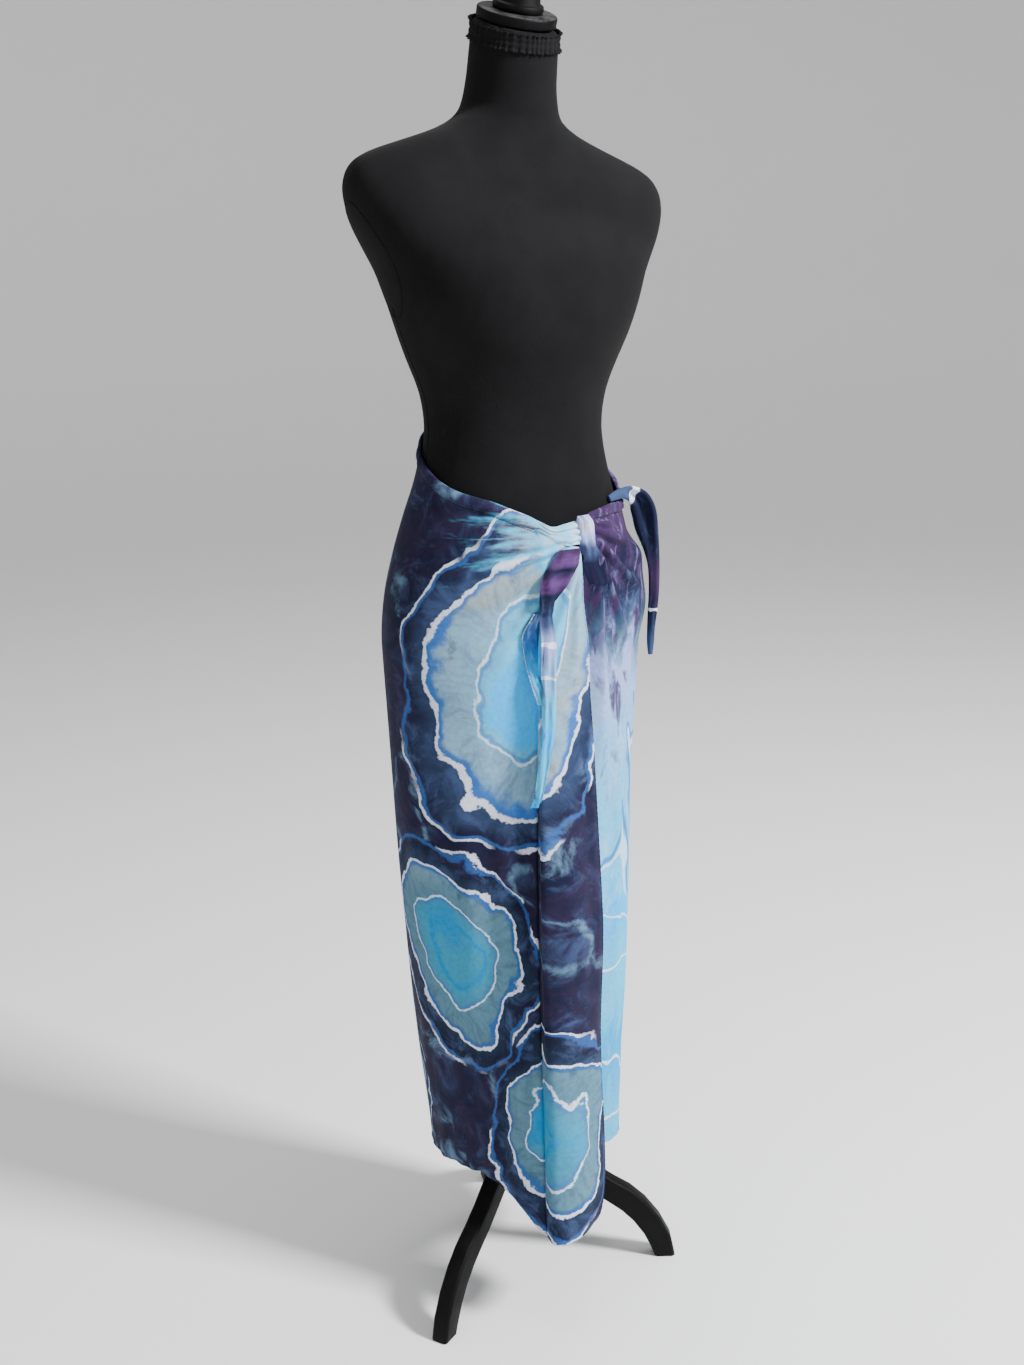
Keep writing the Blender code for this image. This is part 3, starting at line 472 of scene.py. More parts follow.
def tube(name, path, radius, sides=8, uv=None, closed=False):
    """A round cord along a path of points. radius is one number or one for each point."""
    path = np.asarray(path, float)
    count = len(path)
    radius = np.broadcast_to(np.asarray(radius, float), (count,))
    if closed:
        ahead = np.roll(path, -1, axis=0) - np.roll(path, 1, axis=0)
    else:
        ahead = np.gradient(path, axis=0)
    ahead /= np.linalg.norm(ahead, axis=1, keepdims=True)
    rings = []
    side = np.cross(ahead[0], (0.3, 0.2, 0.93))
    turn = (np.arange(sides) * math.tau / sides)[:, None]
    for k in range(count):
        side = side - ahead[k] * side.dot(ahead[k])
        side /= np.linalg.norm(side)
        other = np.cross(ahead[k], side)
        rings.append(path[k] + radius[k] * (np.cos(turn) * side + np.sin(turn) * other))
    spread = None if uv is None else np.repeat(np.asarray(uv, float), sides, axis=0)
    return new_mesh(name, np.concatenate(rings), ring_faces(count, sides, closed), spread)


def join(name, items):
    """Joins pieces into the first and names it."""
    select_only(items[0])
    for item in items[1:]:
        item.select_set(True)
    bpy.ops.object.join()
    items[0].name = items[0].data.name = name
    return items[0]


def settle(item, slot, finish, *nodes):
    """Gives a finished piece its material, its body and the solids that it stands for. The slot argument is
    not used.
    """
    item.data.materials.clear()
    item.data.materials.append(finish)
    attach(item, "root")
    if nodes:
        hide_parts(*nodes)


def smooth_edges(item, degrees):
    select_only(item)
    bpy.ops.object.shade_smooth_by_angle(angle=math.radians(degrees))


def edit_all(item):
    """Selects a piece and all of its mesh, in edit mode."""
    select_only(item)
    bpy.ops.object.mode_set(mode="EDIT")
    bpy.ops.mesh.select_all(action="SELECT")


def face_out(item):
    """Turns all faces of a piece outward."""
    edit_all(item)
    bpy.ops.mesh.normals_make_consistent(inside=False)
    bpy.ops.object.mode_set(mode="OBJECT")


def modify(item, kind, **settings):
    """Gives a piece a modifier and applies it."""
    change = item.modifiers.new(kind.lower(), kind)
    for key, value in settings.items():
        setattr(change, key, value)
    select_only(item)
    bpy.ops.object.modifier_apply(modifier=change.name)


def bevel(item, width, segments, degrees):
    angle = math.radians(degrees)
    modify(item, "BEVEL", width=width, segments=segments, limit_method="ANGLE", angle_limit=angle)


def copy_of(node, name):
    """A merged copy of a solid's mesh, to be worked on."""
    item = bpy.data.objects.new(name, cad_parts[node].data.copy())
    item.data.name = name
    bpy.context.scene.collection.objects.link(item)
    item.data.materials.clear()
    edit_all(item)
    bpy.ops.mesh.remove_doubles(threshold=1e-5)
    bpy.ops.mesh.normals_make_consistent(inside=False)
    bpy.ops.object.mode_set(mode="OBJECT")
    return item


class Graph:
    """Adds nodes to a material's or a group's tree and links them."""

    def __init__(self, tree):
        self.tree = tree

    def add(self, kind, **settings):
        node = self.tree.nodes.new(kind)
        for key, value in settings.items():
            setattr(node, key, value)
        return node

    def put(self, socket, value):
        """Links a socket, or sets a number, vector or colour on the input itself."""
        if isinstance(value, bpy.types.NodeSocket):
            self.tree.links.new(value, socket)
        elif hasattr(value, "__len__") and socket.type == "RGBA":
            socket.default_value = (*value[:3], 1.0)
        else:
            socket.default_value = value

    def math(self, operation, a, b=0.0, c=0.0):
        node = self.add("ShaderNodeMath", operation=operation)
        for socket, value in zip(node.inputs, (a, b, c)):
            self.put(socket, value)
        return node.outputs[0]

    def times(self, value, *factors):
        for factor in factors:
            value = self.math("MULTIPLY", value, factor)
        return value

    def vector(self, operation, a, b=(0.0, 0.0, 0.0), scale=None):
        node = self.add("ShaderNodeVectorMath", operation=operation)
        self.put(node.inputs[0], a)
        if scale is None:
            self.put(node.inputs[1], b)
        else:
            self.put(node.inputs["Scale"], scale)
        return node.outputs["Value"] if operation in ("LENGTH", "DOT_PRODUCT") else node.outputs[0]

    def apart(self, value):
        node = self.add("ShaderNodeSeparateXYZ")
        self.put(node.inputs[0], value)
        return node.outputs

    def together(self, *numbers):
        node = self.add("ShaderNodeCombineXYZ")
        for socket, number in zip(node.inputs, numbers):
            self.put(socket, number)
        return node.outputs[0]

    def mix(self, factor, a, b, way="MIX"):
        node = self.add("ShaderNodeMix", data_type="RGBA", blend_type=way, clamp_factor=True)
        self.put(node.inputs["Factor"], factor)
        for socket, value in zip([s for s in node.inputs if s.type == "RGBA"], (a, b)):
            self.put(socket, value)
        return [s for s in node.outputs if s.type == "RGBA"][0]

    def place(self):
        return self.add("ShaderNodeTexCoord").outputs["Object"]

    def noise(self, place, scale, detail=3.0, rough=0.55, distortion=0.0, output="Fac"):
        node = self.add("ShaderNodeTexNoise")
        self.put(node.inputs["Vector"], place)
        numbers = {"Scale": scale, "Detail": detail, "Roughness": rough, "Distortion": distortion}
        for name, number in numbers.items():
            node.inputs[name].default_value = number
        return node.outputs[output]

    def stir(self, place, amount, by, *numbers):
        """A place moved about by noise read at another place."""
        drift = self.vector("SUBTRACT", self.noise(by, *numbers, output="Color"), (0.5, 0.5, 0.5))
        return self.vector("ADD", place, self.vector("SCALE", drift, scale=amount))

    def spread(self, value, low, high, out_low=0.0, out_high=1.0):
        """Takes low..high to out_low..out_high, smoothly, and holds it there."""
        node = self.add("ShaderNodeMapRange", interpolation_type="SMOOTHSTEP", clamp=True)
        for socket, number in zip(node.inputs, (value, low, high, out_low, out_high)):
            self.put(socket, number)
        return node.outputs[0]

    def ramp(self, factor, stops):
        node = self.add("ShaderNodeValToRGB")
        node.color_ramp.interpolation = "EASE"
        elements = node.color_ramp.elements
        while len(elements) < len(stops):
            elements.new(0.5)
        for element, (place, colour) in zip(elements, stops):
            element.position = place
            element.color = (*colour, 1.0)
        self.put(node.inputs[0], factor)
        return node.outputs[0]

    def line(self, value, middle, half, soft):
        """1 on a line where value is middle, 0 beyond half plus soft on both sides."""
        off = self.math("ABSOLUTE", self.math("SUBTRACT", value, middle))
        return self.spread(off, self.math("ADD", half, soft), half)


def new_material(name, rough, specular=0.5, sheen=0.0):
    """A node material with its shader's plain numbers set, its graph and its shader."""
    finish = bpy.data.materials.new(name)
    finish.use_nodes = True
    shader = finish.node_tree.nodes["Principled BSDF"]
    shader.inputs["Roughness"].default_value = rough
    shader.inputs["Specular IOR Level"].default_value = specular
    shader.inputs["Sheen Weight"].default_value = sheen
    return finish, Graph(finish.node_tree), shader


def shade_of(colour, by):
    return tuple(c * by for c in colour)


def blend(a, b, share_a=0.5, share_b=0.5):
    return tuple(x * share_a + y * share_b for x, y in zip(a, b))


def bump(graph, shader, height, depth, strength=1.0, below=None):
    node = graph.add("ShaderNodeBump")
    node.inputs["Strength"].default_value = strength
    node.inputs["Distance"].default_value = depth
    graph.put(node.inputs["Height"], height)
    if below is not None:
        graph.put(node.inputs["Normal"], below)
    graph.put(shader.inputs["Normal"], node.outputs[0])
    return node.outputs[0]


def jersey_material(name, colour, rough):
    """Black stretch jersey: a fine knit, a faint nap and a little lint."""
    finish, g, shader = new_material(name, rough, 0.05, 0.02)
    place = g.place()
    cloudy = g.noise(place, 14.0, 4.0)
    specks = g.spread(g.noise(place, 420.0, 2.0, 0.6), 0.735, 0.78)
    base = g.mix(g.spread(cloudy, 0.35, 0.7, 0.0, 0.35), colour, shade_of(colour, 1.9))
    g.put(shader.inputs["Base Color"], g.mix(g.times(specks, 0.5), base, LINT))
    shader.inputs["Sheen Roughness"].default_value = 0.5
    knit = g.noise(g.vector("MULTIPLY", place, (1.0, 1.0, 0.55)), 900.0, 1.0)
    soft = bump(g, shader, cloudy, 0.0012, 0.4)
    bump(g, shader, knit, 0.0003, 0.6, soft)
    return finish


def wood_material(name, colour, rough, worn_above=None, axis=None):
    """Black painted wood: faint brush marks and grain, worn grey on a face if asked."""
    finish, g, shader = new_material(name, rough, 0.09)
    place = g.place()
    grain = g.noise(g.vector("MULTIPLY", place, (60.0, 60.0, 8.0)), 1.0, 4.0, 0.6, 0.6)
    cloudy = g.noise(place, 35.0)
    pale = tuple(c * 2.2 + 0.002 for c in colour)
    base = g.mix(g.spread(cloudy, 0.4, 0.75, 0.0, 0.5), colour, pale)
    if worn_above is not None:
        up = g.vector("DOT_PRODUCT", place, axis)
        scuffs = g.spread(g.noise(place, 90.0, 5.0, 0.7), 0.35, 0.62)
        worn = g.times(g.spread(up, worn_above, worn_above + 0.0006), scuffs, 0.75)
        base = g.mix(worn, base, WORN_GREY)
    g.put(shader.inputs["Base Color"], base)
    g.put(shader.inputs["Roughness"], g.spread(cloudy, 0.3, 0.7, rough - 0.05, rough + 0.12))
    bump(g, shader, grain, 0.0004, 0.35)
    return finish


def noise_material(name, rough, dark, light, scale, detail, span=None):
    """Noise from a darker to a lighter colour, over a span of its values if asked."""
    finish, g, shader = new_material(name, rough)
    share = g.noise(g.place(), scale, detail)
    if span:
        share = g.spread(share, *span)
    g.put(shader.inputs["Base Color"], g.mix(share, dark, light))
    return finish


# Colours of the lint on the jersey and of the worn wood.
LINT = (0.030, 0.030, 0.033)
WORN_GREY = (0.050, 0.051, 0.054)
# Rings of dye: centre along and up the cloth in metres, half width, half height, turn in degrees.
RING_ROWS = [
    ("lap middle", 0.885, 0.850, 0.118, 0.160, 16.0),
    ("side", 0.760, 0.500, 0.092, 0.118, -24.0),
    ("lap low", 0.935, 0.285, 0.086, 0.104, 30.0),
    ("back high", 0.480, 0.780, 0.100, 0.140, -10.0),
    ("back low", 0.390, 0.400, 0.090, 0.110, 25.0),
    ("back side", 0.590, 0.300, 0.060, 0.080, 0.0),
]
# The knot in the same coordinates.
KNOT_AT = (1.000, 1.026)


def ring_group():
    """A node group: how far out of one ring of dye a place lies, 1 on the ring, and the turn about it."""
    tree = bpy.data.node_groups.new("dye_ring", "ShaderNodeTree")
    for kind, label, side in (
        ("NodeSocketVector", "Place", "INPUT"),
        ("NodeSocketVector", "Centre", "INPUT"),
        ("NodeSocketVector", "Size", "INPUT"),
        ("NodeSocketFloat", "Turn", "INPUT"),
        ("NodeSocketFloat", "Reach", "OUTPUT"),
        ("NodeSocketFloat", "Angle", "OUTPUT"),
    ):
        tree.interface.new_socket(name=label, in_out=side, socket_type=kind)
    g = Graph(tree)
    given = g.add("NodeGroupInput")
    handed = g.add("NodeGroupOutput")
    off = g.vector("SUBTRACT", given.outputs["Place"], given.outputs["Centre"])
    spun = g.add("ShaderNodeVectorRotate", rotation_type="Z_AXIS")
    g.put(spun.inputs["Vector"], off)
    g.put(spun.inputs["Angle"], given.outputs["Turn"])
    shaped = g.vector("DIVIDE", spun.outputs[0], given.outputs["Size"])
    parts = g.apart(shaped)
    g.put(handed.inputs["Reach"], g.vector("LENGTH", shaped))
    g.put(handed.inputs["Angle"], g.math("ARCTAN2", parts[1], parts[0]))
    return tree


def dye_bump(g, shader, flat):
    """The knit's ribs and small soft wrinkles, from the cloth's own coordinates."""
    rubbed = g.noise(flat, 75.0, 3.0, 0.5)
    soft = bump(g, shader, rubbed, 0.0009, 0.45)
    ribs = g.noise(g.vector("MULTIPLY", flat, (1500.0, 700.0, 1.0)), 1.0, 1.0)
    bump(g, shader, ribs, 0.0003, 0.5, soft)


def dye_and_highlight_material(name, colours):
    """Ice-dyed jersey: rings with resist lines on a mottled dark ground and a paler under lap, with painted
    highlights on the folds by the knot and on the under lap's top.
    """
    finish, g, shader = new_material(name, colours.rough, 0.14, 0.03)
    navy, violet, slate = colours.navy, colours.violet, colours.slate
    pale, aqua, cyan = colours.pale, colours.aqua, colours.cyan
    resist, halo, lilac, plum = colours.resist, colours.halo, colours.lilac, colours.plum
    flat = g.add("ShaderNodeUVMap", uv_map="cloth").outputs[0]
    # The cloth is drawn together at the knot, so the dye crowds there.
    away = g.vector("SUBTRACT", flat, (*KNOT_AT, 0.0))
    crowd = g.spread(g.vector("LENGTH", away), 0.01, 0.15, 2.1, 1.0)
    drawn_in = g.vector("MULTIPLY", away, g.together(1.0, crowd, 1.0))
    place = g.vector("ADD", drawn_in, (*KNOT_AT, 0.0))
    warped = g.stir(place, 0.115, place, 7.5, 2.5)
    warped = g.stir(warped, 0.0085, place, 60.0, 3.0, 0.5)
    warped = g.stir(warped, 0.0050, flat, 210.0, 3.0, 0.6)

    tree = ring_group()
    reach, angle = None, None
    for _, u, v, wide, high, turn in RING_ROWS:
        ring = g.add("ShaderNodeGroup", node_tree=tree)
        g.put(ring.inputs["Place"], warped)
        ring.inputs["Centre"].default_value = (u, v, 0.0)
        ring.inputs["Size"].default_value = (wide, high, 1.0)
        ring.inputs["Turn"].default_value = math.radians(turn)
        if reach is None:
            reach, angle = ring.outputs["Reach"], ring.outputs["Angle"]
            continue
        nearer = g.math("LESS_THAN", ring.outputs["Reach"], reach)
        gap = g.math("SUBTRACT", ring.outputs["Angle"], angle)
        angle = g.math("MULTIPLY_ADD", gap, nearer, angle)
        reach = g.math("MINIMUM", ring.outputs["Reach"], reach)

    streaks = g.noise(g.together(g.times(angle, 5.0), g.times(reach, 1.6)), 1.6, 4.0, 0.65)
    cloud = g.noise(place, 24.0, 6.0, 0.68, 0.9)
    broad = g.noise(place, 8.0, 3.0, 0.5, 0.4)
    grain = g.noise(flat, 160.0, 3.0, 0.6)

    # The dark ground.
    mottle = g.noise(g.vector("ADD", warped, (3.0, 1.0, 0.0)), 17.0, 7.0, 0.66, 0.6)
    ground = g.mix(g.spread(mottle, 0.40, 0.58), navy, violet)
    smoke = g.times(g.spread(cloud, 0.46, 0.72), g.spread(broad, 0.62, 0.42, 0.35, 0.95))
    ground = g.mix(smoke, ground, slate)
    ground = g.mix(g.spread(mottle, 0.56, 0.70, 0.0, 0.45), ground, blend(slate, violet, 0.7, 1.0))
    trace = g.noise(warped, 5.0, 2.0, 0.4, 0.3)
    seam = g.times(g.line(trace, 0.56, 0.002, 0.030), g.spread(cloud, 0.42, 0.66))
    ground = g.mix(g.times(seam, 0.80), ground, blend(slate, pale))

    # Inside and just outside the rings.
    up = g.apart(flat)[1]
    inner = g.ramp(
        g.math("DIVIDE", reach, 1.30),
        [
            (0.00, aqua),
            (0.22, aqua),
            (0.285, cyan),
            (0.345, aqua),
            (0.47, blend(aqua, pale, 0.55, 0.45)),
            (0.56, pale),
            (0.70, pale),
            (0.745, halo),
            (0.80, shade_of(slate, 0.6)),
            (0.97, navy),
        ],
    )
    sandy = g.times(g.spread(broad, 0.46, 0.62), g.spread(reach, 0.55, 0.75))
    sandy = g.times(sandy, g.spread(up, 0.58, 0.70, 0.15, 1.0))
    inner = g.mix(g.times(sandy, g.spread(reach, 1.00, 0.94)), inner, colours.sand)
    tinted = g.times(g.spread(streaks, 0.44, 0.66), g.spread(reach, 0.35, 0.80))
    inner = g.mix(g.times(tinted, 0.35), inner, slate)
    blotch = g.times(g.spread(cloud, 0.56, 0.70), g.spread(reach, 0.70, 0.92))
    inner = g.mix(g.times(blotch, 0.50), inner, violet)
    deep = g.times(g.spread(broad, 0.47, 0.60), g.spread(reach, 0.72, 0.50))
    inner = g.mix(g.times(deep, 0.85), inner, cyan)
    inner = g.mix(g.spread(up, 0.68, 0.56), inner, (0.42, 0.52, 0.52), "MULTIPLY")
    inner = g.mix(g.times(g.spread(cloud, 0.44, 0.66), g.spread(reach, 1.02, 1.06)), inner, slate)
    colour = g.mix(g.spread(reach, 1.16, 1.30), inner, ground)

    # White lines that the folded cloth kept free of dye, wider and narrower as they run.
    ragged = g.times(g.spread(streaks, 0.35, 0.70), 0.019)
    for middle, thin, soft, share, cover in (
        (1.010, 0.007, 0.014, 0.8, 0.95),
        (0.650, 0.004, 0.012, 0.4, 0.85),
        (1.330, 0.006, 0.014, 0.5, 0.9),
    ):
        half = g.math("MULTIPLY_ADD", ragged, share, thin)
        colour = g.mix(g.times(g.line(reach, middle - 0.040, 0.006, 0.03), 0.55), colour, halo)
        line = g.times(g.line(reach, middle, half, soft), cover)
        if middle > 1.2:
            line = g.times(line, g.spread(broad, 0.58, 0.50))
        colour = g.mix(line, colour, resist)

    # The lap is painted paler near the knot, in streaks along the folds that fan out from it: partly the
    # pale dye there, partly painted highlight where these folds catch the light.
    drawn = g.vector("LENGTH", g.vector("MULTIPLY", away, (0.42, 1.0, 1.0)))
    fan = g.apart(away)
    spokes = g.together(g.times(g.math("ARCTAN2", fan[1], fan[0]), 6.0), g.times(drawn, 14.0))
    fold_streaks = g.noise(spokes, 2.2, 3.0, 0.6)
    reached = g.math("MULTIPLY_ADD", g.math("SUBTRACT", fold_streaks, 0.5), 0.16, drawn)
    painted_fold_light = g.times(g.spread(reached, 0.085, 0.030), g.spread(cloud, 0.25, 0.55, 0.75, 1.0))
    colour = g.mix(painted_fold_light, colour, g.mix(g.spread(fold_streaks, 0.42, 0.60), aqua, blend(pale, resist)))

    # The paler under lap, by height, with violet under the knot and clear aqua toward the hem.
    along, up = g.apart(warped)[:2]
    solid = g.place()
    upright = g.vector("MULTIPLY", solid, (1.4, 1.4, 0.6))
    cloud = g.noise(upright, 24.0, 6.0, 0.68, 0.9)
    stirred = g.math("MULTIPLY_ADD", g.math("SUBTRACT", cloud, 0.5), 0.30, up)
    under = g.ramp(
        g.times(stirred, 0.85),
        [
            (0.10, shade_of(cyan, 0.7)),
            (0.20, shade_of(aqua, 0.9)),
            (0.28, shade_of(cyan, 0.8)),
            (0.36, aqua),
            (0.45, cyan),
            (0.53, aqua),
            (0.62, blend(aqua, lilac)),
            (0.70, lilac),
            (0.755, slate),
            (0.80, navy),
            (0.86, plum),
        ],
    )
    milky = g.times(g.spread(cloud, 0.46, 0.66), g.spread(up, 0.94, 0.84, 0.15, 0.60))
    milky = g.times(milky, g.spread(up, 0.35, 0.66, 0.15, 1.0))
    milk = g.mix(g.spread(up, 0.86, 0.96), blend(aqua, resist, 0.65, 0.35), slate)
    under = g.mix(milky, under, milk)
    # Painted highlight: lighter violet streaks on the lit folds across the under lap's top.
    sheen = g.noise(g.vector("MULTIPLY", solid, (3.0, 3.0, 0.7)), 22.0, 3.0, 0.6, 1.2)
    lit = g.times(g.spread(sheen, 0.52, 0.66), g.spread(up, 0.84, 0.92, 0.0, 0.7))
    under = g.mix(lit, under, blend(lilac, plum, 0.25, 2.0))
    dark_spots = g.noise(g.vector("ADD", upright, (0.0, 0.0, 3.0)), 30.0, 4.0, 0.6, 0.5)
    dark_spots = g.times(g.spread(dark_spots, 0.53, 0.66), g.spread(up, 0.60, 0.80, 0.0, 0.9))
    under = g.mix(dark_spots, under, plum)
    contour = g.noise(g.vector("MULTIPLY", solid, (1.0, 1.0, 0.30)), 15.0, 2.0, 0.4, 0.4)
    shown = g.times(g.spread(up, 0.88, 0.80), g.spread(up, 0.50, 0.58))
    lines = g.times(g.line(contour, 0.52, 0.004, 0.012), shown)
    under = g.mix(g.times(lines, 0.8), under, halo)
    white = g.times(g.line(contour, 0.545, 0.004, 0.008), shown)
    under = g.mix(g.times(white, 0.7), under, resist)
    for height, slant in ((0.55, 0.35), (0.43, -0.25), (0.36, 0.35), (0.275, 0.35)):
        level = g.math("ADD", up, g.times(along, slant))
        under = g.mix(g.line(level, height, 0.0010, 0.0016), under, resist)
    colour = g.mix(g.spread(along, 0.335, 0.275), colour, under)

    shade = g.spread(grain, 0.25, 0.75, 0.90, 1.08)
    g.put(shader.inputs["Base Color"], g.vector("SCALE", colour, scale=shade))
    dye_bump(g, shader, flat)
    return finish


def tie_material(name, stops, bands, mottle, colours, length):
    """Dye along a narrow strap: stops of colour by share of its length, and pale bands across it."""
    finish, g, shader = new_material(name, colours.rough, 0.14, 0.03)
    flat = g.add("ShaderNodeUVMap", uv_map="cloth").outputs[0]
    share = g.math("DIVIDE", g.apart(g.stir(flat, 0.022, flat, 45.0, 3.0))[1], length)
    colour = g.ramp(share, stops)
    cloud = g.noise(g.vector("MULTIPLY", flat, (1.5, 0.28, 1.0)), 80.0, 5.0, 0.65, 0.8)
    colour = g.mix(g.spread(cloud, 0.50, 0.68, 0.0, 0.75), colour, mottle)
    for place, half in bands:
        colour = g.mix(g.line(share, place, half, half * 0.5), colour, colours.resist)
    g.put(shader.inputs["Base Color"], colour)
    dye_bump(g, shader, flat)
    return finish


def dye_tie(item, node, name, stops, bands, mottle, colours, length):
    """Gives a tie or a part of the knot its own dye and the solid that it stands for."""
    finish = tie_material(name, stops, bands, mottle, colours, length)
    settle(item, "sarong_jersey", finish, node)


def colour_setting(label, note, value):
    return bpy.props.FloatVectorProperty(
        name=label, description=note, default=value, size=3, min=0.0, max=1.0, subtype="COLOR"
    )


def length_setting(label, note, value):
    return bpy.props.FloatProperty(name=label, description=note, default=value, min=0.0, unit="LENGTH")


def share_setting(label, note, value):
    return bpy.props.FloatProperty(
        name=label, description=note, default=value, min=0.0, max=1.0, subtype="FACTOR"
    )


class SarongFormSettings(bpy.types.PropertyGroup):
    """Sizes and colours of the dress form and its stand."""

    cover: colour_setting("Cover", "Colour of the jersey cover", (0.0060, 0.0060, 0.0066))
    wood: colour_setting("Wood", "Colour of the painted wood", (0.0019, 0.0019, 0.0022))
    pole: colour_setting("Pole", "Colour of the pole's enamel", (0.0080, 0.0080, 0.0085))
    cover_rough: share_setting("Cover roughness", "Roughness of the jersey cover", 0.92)
    wood_rough: share_setting("Wood roughness", "Roughness of the painted wood", 0.52)
    seam_half: length_setting("Seam half width", "Half width of the cover's seams", 0.0007)
    ruffle: length_setting("Ruffle", "How far the neck band's edges stand out", 0.0030)
    leg_bevel: length_setting("Leg bevel", "Rounding of the legs' edges", 0.0014)


class SarongClothSettings(bpy.types.PropertyGroup):
    """Sizes and dye colours of the sarong."""

    navy: colour_setting("Navy", "Dark blue ground", (0.0046, 0.0064, 0.0260))
    violet: colour_setting("Violet", "Dark violet ground", (0.0135, 0.0090, 0.0320))
    plum: colour_setting("Plum", "Violet where the cloth is folded", (0.0330, 0.0135, 0.0550))
    slate: colour_setting("Slate", "Smoky blue", (0.0330, 0.0570, 0.1350))
    pale: colour_setting("Pale", "Grey-blue bands", (0.1750, 0.3300, 0.4600))
    aqua: colour_setting("Aqua", "Light aqua", (0.0600, 0.4300, 0.7000))
    cyan: colour_setting("Cyan", "Clear cyan", (0.0030, 0.3700, 0.8200))
    sand: colour_setting("Sand", "Greyish white with a warm cast", (0.2700, 0.3200, 0.3300))
    resist: colour_setting("Resist", "Undyed white lines", (0.6000, 0.6450, 0.7500))
    halo: colour_setting("Halo", "Blue beside the lines", (0.0260, 0.1200, 0.3900))
    lilac: colour_setting("Lilac", "Pale lilac", (0.2500, 0.3200, 0.6000))
    rough: share_setting("Roughness", "Roughness of the jersey", 0.86)
    edge_half: length_setting("Edge half width", "Half width of the serged edge", 0.0011)
    stitch: length_setting("Stitch length", "Length of a stitch under the top band", 0.0026)
    stitch_step: length_setting("Stitch step", "From one stitch to the next", 0.0038)


class SarongStageSettings(bpy.types.PropertyGroup):
    """The floor, the light and the camera."""

    floor: colour_setting("Floor", "Colour of the floor", (0.84, 0.84, 0.84))
    lens: bpy.props.FloatProperty(
        name="Lens", description="Focal length on a 36 mm sensor, in millimetres", default=42.2, min=1.0
    )
    eye: length_setting("Eye height", "Height of the camera", 1.34)
    away: length_setting("Distance", "From the camera to the pole, on the level", 1.945)
    aside: length_setting("Aside", "How far the camera stands to the left of the pole", 0.0043)
    pitch: bpy.props.FloatProperty(
        name="Pitch",
        description="How far the camera looks down",
        default=math.radians(14.9),
        subtype="ANGLE",
    )
    roll: bpy.props.FloatProperty(
        name="Roll", description="Turn of the camera about its view", default=0.0091, subtype="ANGLE"
    )
    azimuth: bpy.props.FloatProperty(
        name="Azimuth",
        description="Side that the camera stands on",
        default=math.radians(-30),
        subtype="ANGLE",
    )


class SARONG_OT_form_cover(bpy.types.Operator):
    """Dress form with its jersey cover, from the solid's copy"""

    bl_idname = "sarong.form_cover"
    bl_label = "Form cover"

    def execute(self, context):
        looks = context.scene.sarong_form
        item = copy_of("form_body", "form_cover")
        modify(item, "SUBSURF", levels=2)
        smooth_edges(item, 60)
        finish = jersey_material("form_jersey", tuple(looks.cover), looks.cover_rough)
        settle(item, "form_jersey", finish, "form_body")
        return {"FINISHED"}


# The side seams run from the armhole plates to the base: height, azimuth from the front.
SIDE_SEAM_ROWS = [
    ("plate foot", 1.285, 93.0),
    ("ribs", 1.200, 92.0),
    ("waist", 1.130, 92.0),
    ("hip", 0.950, 93.0),
    ("base", 0.775, 94.0),
]
# The armhole plate, seen from the side: half its size forward and up, and its middle from the pole.
ARMHOLE_HALF = (0.034, 0.064)
ARMHOLE_MIDDLE = (-0.004, 1.337)
# How far from the pole the lines that look for the form start.
OUTSIDE = 0.5


def on_form(tree, start, ahead):
    """Where a line from start first meets the form."""
    hit = tree.ray_cast(start, ahead)[0]
    if hit is None:
        raise RuntimeError("a seam misses the form")
    return hit


class SARONG_OT_form_seams(bpy.types.Operator):
    """Seams of the cover: down each side and round each armhole plate"""

    bl_idname = "sarong.form_seams"
    bl_label = "Form seams"

    def execute(self, context):
        looks = context.scene.sarong_form
        body = bpy.data.objects["form_cover"]
        tree = BVHTree.FromObject(body, context.evaluated_depsgraph_get())
        items = []
        rows = sorted(SIDE_SEAM_ROWS, key=lambda row: row[1])
        heights = np.linspace(rows[-1][1], rows[0][1], 60)
        for side in (1, -1):
            path = []
            for height, azimuth in zip(heights, curve(rows, heights, 1)):
                start = Vector(radial(side * azimuth, OUTSIDE, height))
                path.append(on_form(tree, start, POLE + Vector((0, 0, height)) - start))
            items.append(tube("seam", path, looks.seam_half, 6))
            path = []
            for turn in np.linspace(0, math.tau, 90, endpoint=False):
                forward = ARMHOLE_MIDDLE[0] + ARMHOLE_HALF[0] * math.sin(turn)
                height = ARMHOLE_MIDDLE[1] + ARMHOLE_HALF[1] * math.cos(turn)
                start = POLE + Vector((side * OUTSIDE, -forward, height))
                path.append(on_form(tree, start, Vector((-side, 0, 0))))
            items.append(tube("seam", path, looks.seam_half, 6, closed=True))
        item = join("form_seams", items)
        finish = jersey_material("seam_thread", shade_of(looks.cover, 0.7), looks.cover_rough)
        settle(item, "form_jersey", finish)
        return {"FINISHED"}


def neck_axis(height):
    radius, lean, tilt = (float(curve(NECK_ROWS, height, c)) for c in (1, 2, 3))
    return POLE + Vector((0, lean, height)), radius, math.radians(tilt)


# The neck band's mesh: points up it and round it, and its thickness.
BAND_LEVELS = 15
BAND_TURNS = 360
ELASTIC = 0.0008


